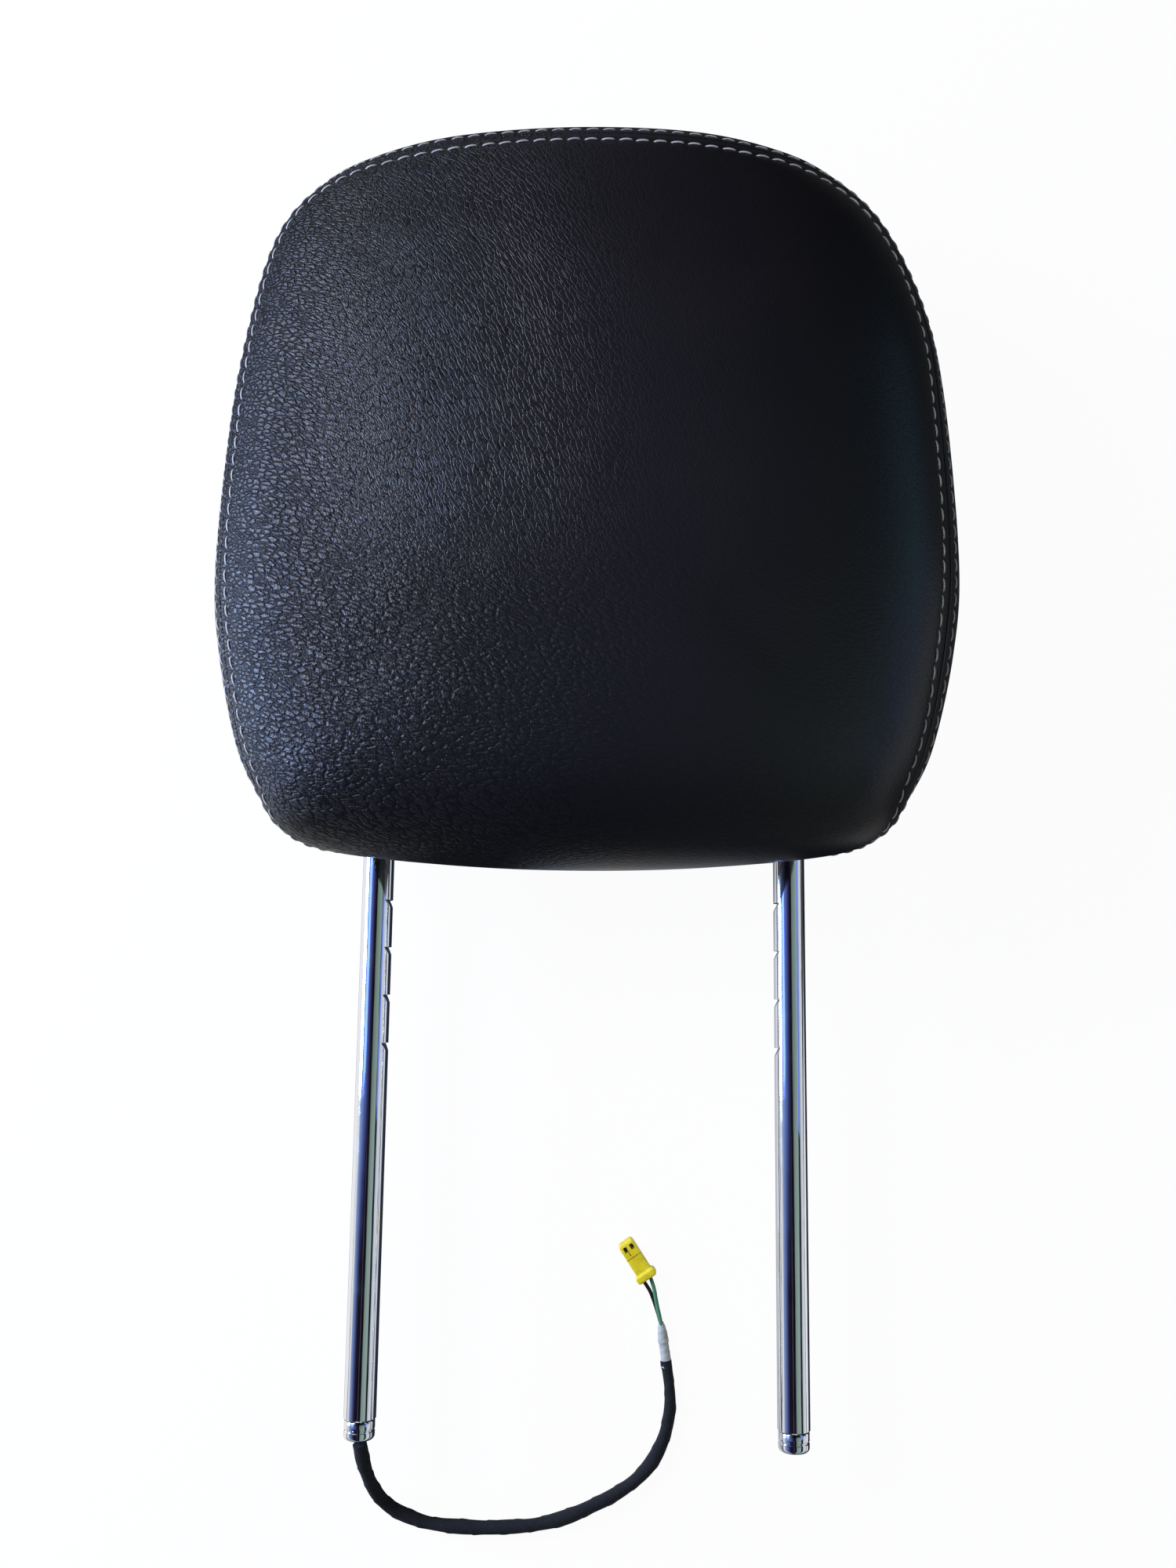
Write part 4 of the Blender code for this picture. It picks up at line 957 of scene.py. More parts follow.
@dataclass
class SewnCover:
    """The leather cover: a front panel and a side strip, sewn with two rows of stitches.

    The front panel runs over the lower edge to the hem, and the strip runs round the sides and the
    top. The seam leaves the rim at both lower corners and ends at the hem.
    """

    form: CushionForm
    leather: bpy.types.Material
    thread: bpy.types.Material
    # share of the way round, and how far the seam lies in front of the widest level
    seam_line: tuple[Pair, ...] = (
        (0.0, 0.0322), (0.05, 0.0320), (0.08, 0.0300), (0.100, 0.0258), (0.118, 0.0205),
        (0.138, 0.0170), (0.163, 0.0160), (0.190, 0.0166), (0.220, 0.0178), (0.255, 0.0186),
        (0.290, 0.0188), (0.320, 0.0176), (0.342, 0.0155), (0.358, 0.0132), (0.370, 0.0100),
        (0.380, 0.0055), (0.390, -0.0015), (0.400, -0.0105), (0.410, -0.0205), (0.420, -0.0310),
    )
    seam_half: float = 0.0007
    seam_depth: float = 0.0026
    row_offset: float = 0.0046
    cells: int = 112
    strip_steps: int = 420
    strip_rows: int = 14
    stitch_pitch: float = 0.0063
    stitch_length: float = 0.0052
    thread_diameter: float = 0.00070
    row_dip: float = 0.00010
    row_reach: float = 0.0013
    hole_dip: float = 0.00014
    hole_reach: float = 0.0011
    puff: float = 0.0022
    held_reach: float = 0.0021
    hem_width: float = 0.014
    hem_thickness: float = 0.0029

    def seam(self, share: np.ndarray) -> np.ndarray:
        """Find the seam.

        Args:
            share: shares of the way round.

        Returns:
            The seam's distance from the middle at each share.
        """
        from_top = np.minimum(np.mod(share, 1.0), 1 - np.mod(share, 1.0))
        line = smooth_curve(self.seam_line)
        in_front = np.interp(from_top, line[:, 0], line[:, 1])
        return np.minimum(self.form.at_widest - in_front, self.form.at_level(self.form.parting))

    def ends(self) -> Pair:
        """The shares at which the seam ends, left of the bottom and right of it."""
        return 1 - self.seam_line[-1][0], self.seam_line[-1][0]

    def make_panel(self) -> bpy.types.Object:
        """Make the front panel from a square grid drawn to its outline.

        Returns:
            The panel, with its edge rolled into the seam.
        """
        work = bmesh.new()
        bmesh.ops.create_grid(work, x_segments=self.cells, y_segments=self.cells, size=1.0)
        corners = work.verts[:]
        flat = np.array([(v.co.x, v.co.y) for v in corners])
        reach = np.abs(flat).max(axis=1)
        share = self.square_share(flat)
        hem = self.form.at_level(self.form.parting)
        edge = np.minimum(self.seam(share) - self.seam_half, hem)
        distance = edge * reach * (1.3 - 0.3 * reach)
        points = self.form.point(share, distance)
        for corner, point in zip(corners, points):
            corner.co = point
        rim = [e for e in work.edges if e.is_boundary]
        rolled = ((0.35, 0.35), (0.55, 0.9), (0.45, self.seam_depth * 1000))
        places = {v: s for v, s in zip(corners, share)}
        for out, down in rolled:
            drawn = bmesh.ops.extrude_edge_only(work, edges=rim)["geom"]
            fresh = [g for g in drawn if isinstance(g, bmesh.types.BMVert)]
            new = set(fresh)
            rim = [g for g in drawn if isinstance(g, bmesh.types.BMEdge)
                   and g.verts[0] in new and g.verts[1] in new]
            for corner in fresh:
                old = next(e.other_vert(corner) for e in corner.link_edges
                           if e.other_vert(corner) not in new)
                places[corner] = places[old]
            shares = np.array([places[v] for v in fresh])
            base = np.minimum(self.seam(shares) - self.seam_half, hem)
            at = self.form.point(shares, np.minimum(base + out * 0.001, hem + 0.0001))
            at -= self.form.normal(shares, base) * down * 0.001
            for corner, point in zip(fresh, at):
                corner.co = point
        return finished("front_panel", work, self.leather, sharp=80.0)

    @staticmethod
    def square_share(flat: np.ndarray) -> np.ndarray:
        """Give each point of a square its share of the way round, clockwise from the top's middle.

        Args:
            flat: x and y from minus one to one, one point a row.

        Returns:
            The shares.
        """
        x, y = flat.T
        reach = np.maximum(np.abs(flat).max(axis=1), 1e-9)
        x, y = x / reach, y / reach
        share = np.where(
            y >= 1 - 1e-9, x / 8,
            np.where(x >= 1 - 1e-9, 0.25 - y / 8,
                     np.where(y <= -1 + 1e-9, 0.5 - x / 8, 0.75 + y / 8)))
        return np.mod(share, 1.0)

    def make_strip(self) -> bpy.types.Object:
        """Make the side strip, which tapers out at both lower corners.

        Returns:
            The strip, rolled into the seam and under at the hem.
        """
        hem = self.form.at_level(self.form.parting)
        left, right = self.ends()
        rows = []
        inside = 0.0012
        for step in range(self.strip_steps + 1):
            share = left + (1 + right - left) * step / self.strip_steps
            seam = float(self.seam(np.array(share)))
            start = min(seam + self.seam_half, hem)
            width = hem - start
            depth = min(self.seam_depth, width)
            places = [(start - 0.00045, depth), (start - 0.00055, depth * 0.35),
                      (start - 0.00030, depth * 0.13)]
            places += [(start + width * n / self.strip_rows, 0.0)
                       for n in range(self.strip_rows + 1)]
            places += [(hem, min(inside, width))]
            distance = np.array([max(p, 0.0) for p, _ in places])
            at = self.form.point(np.array(share), distance)
            at -= self.form.normal(np.array(share), distance) * np.array(
                [[d] for _, d in places])
            rows.append(at.tolist())
        work = bmesh.new()
        loft(work, rows, closed=False)
        bmesh.ops.remove_doubles(work, verts=work.verts[:], dist=2e-5)
        return finished("side_strip", work, self.leather, sharp=80.0)

    def make_hem(self) -> bpy.types.Object:
        """Make the hem that turns in under the impact plate.

        Returns:
            The hem band, closed all round.
        """
        level = self.form.parting
        thick, wide = self.hem_thickness, self.hem_width
        section = ((0.0004, 0.0), (0.0016, -0.00005), (wide - 0.0012, 0.0), (wide, 0.0012),
                   (wide, thick - 0.0010), (wide - 0.001, thick), (0.0018, thick),
                   (0.0007, 0.0016))
        shares = np.linspace(0, 1, 361)[:-1]
        edge = self.form.at_level(level)
        rows = []
        for inset, rise in section:
            ring = self.form.point(shares, np.array(edge))
            inward = self.form.flat_inward(shares)
            ring[:, :2] += inward * inset
            ring[:, 2] = level + rise
            rows.append(ring.tolist())
        work = bmesh.new()
        loft(work, [*rows, rows[0]])
        bmesh.ops.remove_doubles(work, verts=work.verts[:], dist=1e-6)
        return finished("cover_hem", work, self.leather, sharp=50.0)

    def row(self, offset: float) -> tuple[np.ndarray, np.ndarray]:
        """Walk along a row of stitches.

        Args:
            offset: the row's distance from the seam, in metres, outwards.

        Returns:
            Close-set shares along the row, and the distance gone at each.
        """
        left, right = self.ends()
        shares = np.linspace(left + 0.012, 1 + right - 0.012, 4000)
        line = self.form.point(shares, self.seam(shares) + offset)
        return shares, gone_along(line)

    def make_stitches(self, name: str, offset: float, base: BVHTree) -> bpy.types.Object:
        """Make one row of stitches that lie on the leather.

        Args:
            name: the piece's name.
            offset: the row's distance from the seam, in metres, outwards.
            base: the leather under it.

        Returns:
            The row, as one piece.
        """
        shares, gone = self.row(offset)
        hem = self.form.at_level(self.form.parting) - 0.001
        work = bmesh.new()
        count = int(gone[-1] / self.stitch_pitch)
        radius = self.thread_diameter / 2
        dice = np.random.default_rng(7)
        lifts = (-0.9, 0.15, 0.62, 0.80, 0.72, 0.30, -0.9)
        for number in range(count):
            jitter = dice.normal(0, 0.00012, 3)
            rings = []
            start = (number + 0.5) * self.stitch_pitch + jitter[0]
            for piece, lift in enumerate(lifts):
                part = piece / (len(lifts) - 1)
                share = np.interp(start + self.stitch_length * (part - 0.5), gone, shares)
                distance = self.seam(np.array(share)) + offset + 0.00035 * (part - 0.5) + jitter[1]
                if distance > hem:
                    break
                place = Vector(self.form.point(share, distance))
                out = Vector(self.form.normal(share, distance))
                near = base.find_nearest(place)
                centre = near[0] + out * radius * lift
                ahead = Vector(self.form.point(share + 0.0005, distance)) - place
                ahead = (ahead - out * ahead.dot(out)).normalized()
                side = ahead.cross(out)
                thick = radius * (0.72 if piece in (0, len(lifts) - 1) else 1.0)
                rings.append([centre + (side * cos(t) * 1.1 + out * sin(t) * 0.9) * thick
                              for t in (tau * k / 6 for k in range(6))])
            if len(rings) == len(lifts):
                loft(work, rings, capped=True)
        return finished(name, work, self.thread, sharp=75.0)

    def pucker(self, piece: bpy.types.Object, offset: float) -> None:
        """Draw the leather in along a row of stitches, most at each hole.

        Args:
            piece: the leather, whose mesh is moved.
            offset: the row's distance from the seam, in metres, outwards.
        """
        shares, gone = self.row(offset)
        holes = (np.arange(int(gone[-1] / self.stitch_pitch)) + 0.08) * self.stitch_pitch
        shares_at = np.interp(holes, gone, shares)
        centres = self.form.point(shares_at, self.seam(shares_at) + offset)
        line = self.form.point(shares[::4], self.seam(shares[::4]) + offset)
        mesh = piece.data
        points = np.zeros(len(mesh.vertices) * 3)
        mesh.vertices.foreach_get("co", points)
        points = points.reshape(-1, 3)
        normals = np.array([v.normal for v in mesh.vertices])
        depth = self.row_dip * np.exp(-((nearest(points, line) / self.row_reach) ** 2))
        depth += self.hole_dip * np.exp(-((nearest(points, centres) / self.hole_reach) ** 2))
        points -= normals * depth[:, None]
        mesh.vertices.foreach_set("co", points.ravel())
        mesh.update()

    def build(self) -> list[bpy.types.Object]:
        """Make the cover and its stitches, and put them on the front unit.

        Returns:
            The pieces.
        """
        panel, strip = self.make_panel(), self.make_strip()
        hem = self.form.at_level(self.form.parting)
        held = self.held_points(np.array([v.co for v in panel.data.vertices]), hem)
        swell(panel, held, self.puff)
        subdivide_for_good(panel)
        subdivide_for_good(strip)
        self.pucker(panel, -self.row_offset)
        self.pucker(strip, self.row_offset)
        pieces = [panel, strip, self.make_hem()]
        for name, offset, base in (("front_stitches", -self.row_offset, panel),
                                   ("rear_stitches", self.row_offset, strip)):
            tree = BVHTree.FromObject(base, bpy.context.evaluated_depsgraph_get())
            pieces.append(self.make_stitches(name, offset, tree))
        for piece in pieces:
            attach(piece, Body.FRONT, Slot.LEATHER)
        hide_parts("front_cover")
        return pieces

    def held_points(self, points: np.ndarray, hem: float) -> list[int]:
        """Pick the points of the panel that its seam and hem hold.

        Args:
            points: the panel's vertices, one a row.
            hem: the hem's distance from the middle.

        Returns:
            The numbers of the vertices that stay.
        """
        shares = np.linspace(0, 1, 3000, endpoint=False)
        edge = np.minimum(self.seam(shares) - self.seam_half, hem)
        line = self.form.point(shares, edge - self.row_offset)
        rim = self.form.point(shares, edge)
        far = nearest(points, np.concatenate([line, rim]))
        return np.flatnonzero(far < self.held_reach).tolist()


@dataclass
class FoamPad:
    """The moulded foam pad on the impact plate, just inside the cover."""

    form: CushionForm
    foam: bpy.types.Material
    wall: float = 0.0034
    back: float = 0.0560
    steps: int = 180
    rings: int = 40

    def build(self) -> bpy.types.Object:
        """Make the pad as a closed dome.

        Returns:
            The pad.
        """
        shares = np.linspace(0, 1, self.steps + 1)[:-1]
        rows = []
        for part in np.linspace(0.02, 1.0, self.rings):
            far = np.array(self.form.at_widest * part**0.8)
            ring = self.form.point(shares, far) - self.form.normal(shares, far) * self.wall
            rows.append(ring.tolist())
        rows.append([(x, y, self.back) for x, y, _ in rows[-1]])
        work = bmesh.new()
        loft(work, rows, capped=True)
        pad = finished("foam_pad", work, self.foam, sharp=50.0)
        attach(pad, Body.FRONT, Slot.FOAM, "front_foam")
        return pad


# ---------------------------------------------------------------- posts


@dataclass
class Post:
    """One chromed tube with four catch notches on the side that faces the other post."""

    name: str
    side: int
    chrome: bpy.types.Material
    spacing: float = 0.160
    radius: float = 0.006
    bore: float = 0.0035
    level: float = 0.028
    foot: float = -0.24105
    top: float = 0.16525
    bare_top: float = -0.04075
    notch_first: float = 0.0083
    notch_pitch: float = 0.0183
    notch_height: float = 0.0032
    notch_depth: float = 0.0019
    notches: int = 4
    sides: int = 128

    def cut(self, y: float) -> float:
        """How deep the nearest notch is at a place along the post, in metres."""
        for number in range(self.notches):
            top = self.bare_top - self.notch_first - number * self.notch_pitch
            below = top - y
            if 0 <= below <= self.notch_height:
                return self.notch_depth * (1 - below / self.notch_height)
        return 0.0

    def steps(self) -> list[float]:
        """Places along the post where it gets a ring, closest at the notches."""
        places = {self.foot, self.foot + 0.0004, self.top}
        for number in range(self.notches):
            top = self.bare_top - self.notch_first - number * self.notch_pitch
            places |= {top + 0.00008, top - 0.00004}
            places |= {top - self.notch_height * n / 12 for n in range(1, 13)}
            places |= {top + 0.0015, top - self.notch_height - 0.0015}
        y = self.foot
        while y < self.top:
            places.add(y)
            y += 0.012
        ordered = sorted(places)
        return [a for a, b in zip(ordered, ordered[1:] + [1.0]) if b - a > 3e-5]

    def build(self) -> bpy.types.Object:
        """Make the post from rings whose inner side is flattened in each notch.

        Returns:
            The post.
        """
        x = self.side * self.spacing / 2
        rings = []
        for y in self.steps():
            radius = self.radius - (0.0003 if y == self.foot else 0.0)
            limit = self.radius - self.cut(y)
            ring = []
            for step in range(self.sides):
                turn = tau * step / self.sides
                inward = radius * cos(turn)
                ring.append((x - self.side * min(inward, limit), y,
                             self.level + radius * sin(turn)))
            rings.append(ring)
        bored = [(x - self.side * self.bore * cos(tau * n / self.sides), y,
                  self.level + self.bore * sin(tau * n / self.sides))
                 for y in (self.top, self.foot) for n in range(self.sides)]
        rings += [bored[: self.sides], bored[self.sides:], rings[0]]
        work = bmesh.new()
        loft(work, rings)
        bmesh.ops.remove_doubles(work, verts=work.verts[:], dist=1e-6)
        made = finished(self.name, work, self.chrome, sharp=24.0)
        attach(made, Body.REAR, Slot.CHROME, "left_post" if self.side < 0 else "right_post")
        return made


@dataclass
class PostEnds:
    """The cable ring in the left post's foot and the closed plug in the right one's."""

    chrome: bpy.types.Material
    spacing: float = 0.160
    level: float = 0.028
    foot: float = -0.24825
    seat: float = -0.24135
    radius: float = 0.0057
    spigot: float = 0.0034
    reach: float = 0.006
    bore: float = 0.00285

    def outside(self) -> list[Pair]:
        """The shared outer profile, from the end face to the spigot's tip."""
        foot, r = self.foot, self.radius
        rounded = [(r - 0.0016 + 0.0016 * sin(t), foot + 0.0016 - 0.0016 * cos(t))
                   for t in quarter(8)]
        groove = [(r, foot + 0.0030), (r - 0.00035, foot + 0.0033), (r - 0.00035, foot + 0.0037),
                  (r, foot + 0.0040)]
        return [*rounded, *groove, (r, self.seat - 0.0003), (r - 0.0002, self.seat),
                (self.spigot, self.seat), (self.spigot, self.seat + self.reach)]

    def build(self) -> list[bpy.types.Object]:
        """Make both ends.

        Returns:
            The ring and the plug.
        """
        outside = self.outside()
        lip = self.bore + 0.0007
        ring = [(self.bore, self.seat + self.reach), (self.bore, self.foot + 0.0007),
                (self.bore + 0.0002, self.foot + 0.0002), (lip, self.foot)]
        left = turned("left_foot_ring", [*ring, *outside], self.chrome, -self.spacing / 2,
                      self.level, closed=True)
        dish = [(0.0, self.foot + 0.0007), (0.0020, self.foot + 0.0006),
                (0.0027, self.foot + 0.0001)]
        right = turned("right_foot_plug", [*dish, *outside, (0.0, self.seat + self.reach)],
                       self.chrome, self.spacing / 2, self.level)
        for piece, node in ((left, "left_end_ring"), (right, "right_end_plug")):
            attach(piece, Body.REAR, Slot.CHROME, node)
        return [left, right]


@dataclass
class Collars:
    """The two moulded sockets through which the posts leave the back shell."""

    plastic: bpy.types.Material
    spacing: float = 0.160
    level: float = 0.028
    start: float = -0.0300
    end: float = 0.00725
    radius: float = 0.0093
    bore: float = 0.00605

    def build(self) -> list[bpy.types.Object]:
        """Make both sockets, with a rounded mouth and a wiping lip.

        Returns:
            The two sockets.
        """
        r, b, y = self.radius, self.bore, self.start
        mouth = [(b + 0.0011 - 0.0011 * sin(t), y + 0.0011 - 0.0011 * cos(t)) for t in quarter(6)]
        outer = [(r - 0.0010 + 0.0010 * sin(t), y + 0.0010 - 0.0010 * cos(t)) for t in quarter(6)]
        profile = [*mouth[::-1], *outer, (r, y + 0.0060), (r - 0.0006, y + 0.0064),
                   (r - 0.0006, y + 0.0090), (r, y + 0.0094), (r, self.end - 0.0006),
                   (r - 0.0006, self.end), (b + 0.0006, self.end), (b, self.end - 0.0006)]
        made = []
        for name, node, side in (("left_socket", "left_collar", -1),
                                 ("right_socket", "right_collar", 1)):
            piece = turned(name, profile, self.plastic, side * self.spacing / 2, self.level,
                           closed=True)
            attach(piece, Body.REAR, Slot.SHELL, node)
            made.append(piece)
        return made


@dataclass
class DriveSprings:
    """The two coil springs that push the cushion forward."""

    steel: bpy.types.Material
    radius: float = 0.0080
    wire: float = 0.0009
    start: float = 0.0083
    end: float = 0.0497
    coils: float = 6.0

    def build(self) -> list[bpy.types.Object]:
        """Make both springs, with closed end coils.

        Returns:
            The two springs.
        """
        made = []
        for number in (1, 2):
            low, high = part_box(f"drive_spring_{number}")
            x, y = (low[0] + high[0]) / 2, (low[1] + high[1]) / 2
            turns = np.linspace(0, 1, int(self.coils * 26) + 1)
            rise = np.interp(turns, (0.0, 0.13, 0.87, 1.0), (0.0, 0.045, 0.955, 1.0))
            room = self.end - self.start - 2 * self.wire
            line = np.stack([x + self.radius * np.cos(tau * self.coils * turns),
                             y + self.radius * np.sin(tau * self.coils * turns),
                             self.start + self.wire + room * rise], axis=1)
            spring = tube(f"coil_spring_{number}", line, lambda along, turn: self.wire,
                          self.steel, sides=10)
            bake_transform(spring)
            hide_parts(f"drive_spring_{number}")
            made.append(spring)
        return made


# ---------------------------------------------------------------- lead


@dataclass
class Connector:
    """The small two-way housing, with two latch windows, a cross groove and a lobed collar.

    Its own frame runs along the housing from the tip, across it and up. Lengths are in metres.
    """

    finishes: Mapping[Slot, bpy.types.Material]
    tip: Pair = (0.0169, -0.1796)
    rear: Pair = (0.02642, -0.19365)
    lift: float = 0.0001
    # place along, half width, height of the top and of the underside
    stations: tuple[tuple[float, float, float, float], ...] = (
        (0.0, 0.0024, 0.0038, 0.0012), (0.0003, 0.0028, 0.0042, 0.0008),
        (0.0010, 0.0031, 0.0047, 0.0006), (0.0021, 0.0032, 0.0049, 0.0006),
        (0.0043, 0.0032, 0.0049, 0.0006), (0.0061, 0.0032, 0.0049, 0.0006),
        (0.0068, 0.0032, 0.0049, 0.0006), (0.0072, 0.0032, 0.0049, 0.0006),
        (0.0136, 0.0032, 0.0049, 0.0006), (0.0139, 0.0036, 0.0053, 0.0003),
        (0.0146, 0.0041, 0.0058, 0.0), (0.0157, 0.0042, 0.0059, 0.0),
        (0.0165, 0.0040, 0.0058, 0.0), (0.0170, 0.0036, 0.0054, 0.0003),
    )
    # shares of the half width at which the top face has an edge
    columns: tuple[float, ...] = (-0.62, -0.30, -0.16, 0.0, 0.26, 0.72)
    corner: float = 0.0005
    window_depth: float = 0.0016
    groove_depth: float = 0.0005

    def section(self, half: float, top: float, under: float) -> list[Pair]:
        """One section, as (across, up) pairs with rounded corners."""
        c = self.corner
        ring = [(-half + c * (1 - sin(t)), top - c * (1 - cos(t)))
                for t in (pi / 2, pi / 4, 0.0)]
        ring += [(half * column, top) for column in self.columns]
        ring += [(half - c * (1 - sin(t)), top - c * (1 - cos(t))) for t in (0.0, pi / 4, pi / 2)]
        ring += [(half - c * (1 - cos(t)), under + c * (1 - sin(t)))
                 for t in (0.0, pi / 4, pi / 2)]
        ring += [(-half + c * (1 - cos(t)), under + c * (1 - sin(t)))
                 for t in (pi / 2, pi / 4, 0.0)]
        return ring

    def place(self) -> Matrix:
        """Where the housing's own frame lies in the scene."""
        along = Vector((self.rear[0] - self.tip[0], self.rear[1] - self.tip[1], 0.0)).normalized()
        up = Vector((0.0, 0.0, 1.0))
        across = up.cross(along)
        turn = Matrix((along, across, up)).transposed().to_4x4()
        return Matrix.Translation((*self.tip, self.lift)) @ turn

    def sink(self, work: bmesh.types.BMesh, spans: Sequence[tuple[float, float, float, float]],
             depth: float) -> None:
        """Press parts of the top face down.

        Args:
            work: the housing's mesh, in its own frame.
            spans: along from and to, and across from and to, for each part.
            depth: how far they go down, in metres.
        """
        picked = []
        for face in work.faces:
            at = face.calc_center_median()
            if face.normal.z < 0.8 or at.z < 0.003:
                continue
            if any(a < at.x < b and c < at.y < d for a, b, c, d in spans):
                picked.append(face)
        drawn = bmesh.ops.extrude_face_region(work, geom=picked)["geom"]
        fresh = [g for g in drawn if isinstance(g, bmesh.types.BMVert)]
        bmesh.ops.translate(work, verts=fresh, vec=(0.0, 0.0, -depth))
        bmesh.ops.delete(work, geom=[f for f in picked if f.is_valid], context="FACES_ONLY")

    def make_housing(self) -> bpy.types.Object:
        """Make the housing."""
        rings = [[(along, across, up) for across, up in self.section(half, top, under)]
                 for along, half, top, under in self.stations]
        end, half, top, under = self.stations[-1]
        for place, share in ((end, 0.74), (end - 0.0019, 0.70)):
            rings.append([(place, across * share, (up - 0.0029) * share + 0.0029)
                          for across, up in self.section(half, top, under)])
        work = bmesh.new()
        loft(work, rings, capped=True)
        bmesh.ops.recalc_face_normals(work, faces=work.faces[:])
        work.normal_update()
        self.sink(work, ((0.0021, 0.0043, -0.0020, -0.0005), (0.0043, 0.0061, -0.0010, -0.0005),
                         (0.0021, 0.0043, 0.0008, 0.0023)), self.window_depth)
        work.normal_update()
        self.sink(work, ((0.0068, 0.0072, -0.0035, 0.0035),), self.groove_depth)
        bmesh.ops.transform(work, matrix=self.place(), verts=work.verts[:])
        return finished("connector_body", work, self.finishes[Slot.YELLOW], sharp=30.0)

    def make_terminal(self, name: str, across: float) -> bpy.types.Object:
        """Make the bent metal tongue that shows in one window.

        Args:
            name: the piece's name.
            across: its place across the housing.

        Returns:
            The tongue.
        """
        work = bmesh.new()
        bmesh.ops.create_cube(work, size=1.0)
        bmesh.ops.scale(work, vec=(0.0017, 0.0010, 0.0006), verts=work.verts[:])
        top = [f for f in work.faces if f.normal.z > 0.9]
        bmesh.ops.inset_region(work, faces=top, thickness=0.00022, depth=-0.00015)
        bmesh.ops.bevel(work, geom=[e for e in work.edges if e.calc_length() > 0.0009],
                        offset=0.00008, segments=2, profile=0.5, affect="EDGES", material=-1)
        bmesh.ops.translate(work, vec=(0.0032, across, 0.0036), verts=work.verts[:])
        bmesh.ops.transform(work, matrix=self.place(), verts=work.verts[:])
        return finished(name, work, self.finishes[Slot.SPRING], sharp=30.0)

    def build(self) -> list[bpy.types.Object]:
        """Make the housing and both terminals.

        Returns:
            The three pieces.
        """
        pieces = [self.make_housing(), self.make_terminal("left_terminal", -0.00147),
                  self.make_terminal("right_terminal", 0.00157)]
        names = ("connector_housing", "terminal_1", "terminal_2")
        for piece, node, slot in zip(pieces, names, (Slot.YELLOW, Slot.ZINC, Slot.ZINC)):
            attach(piece, Body.REAR, slot, node)
        return pieces


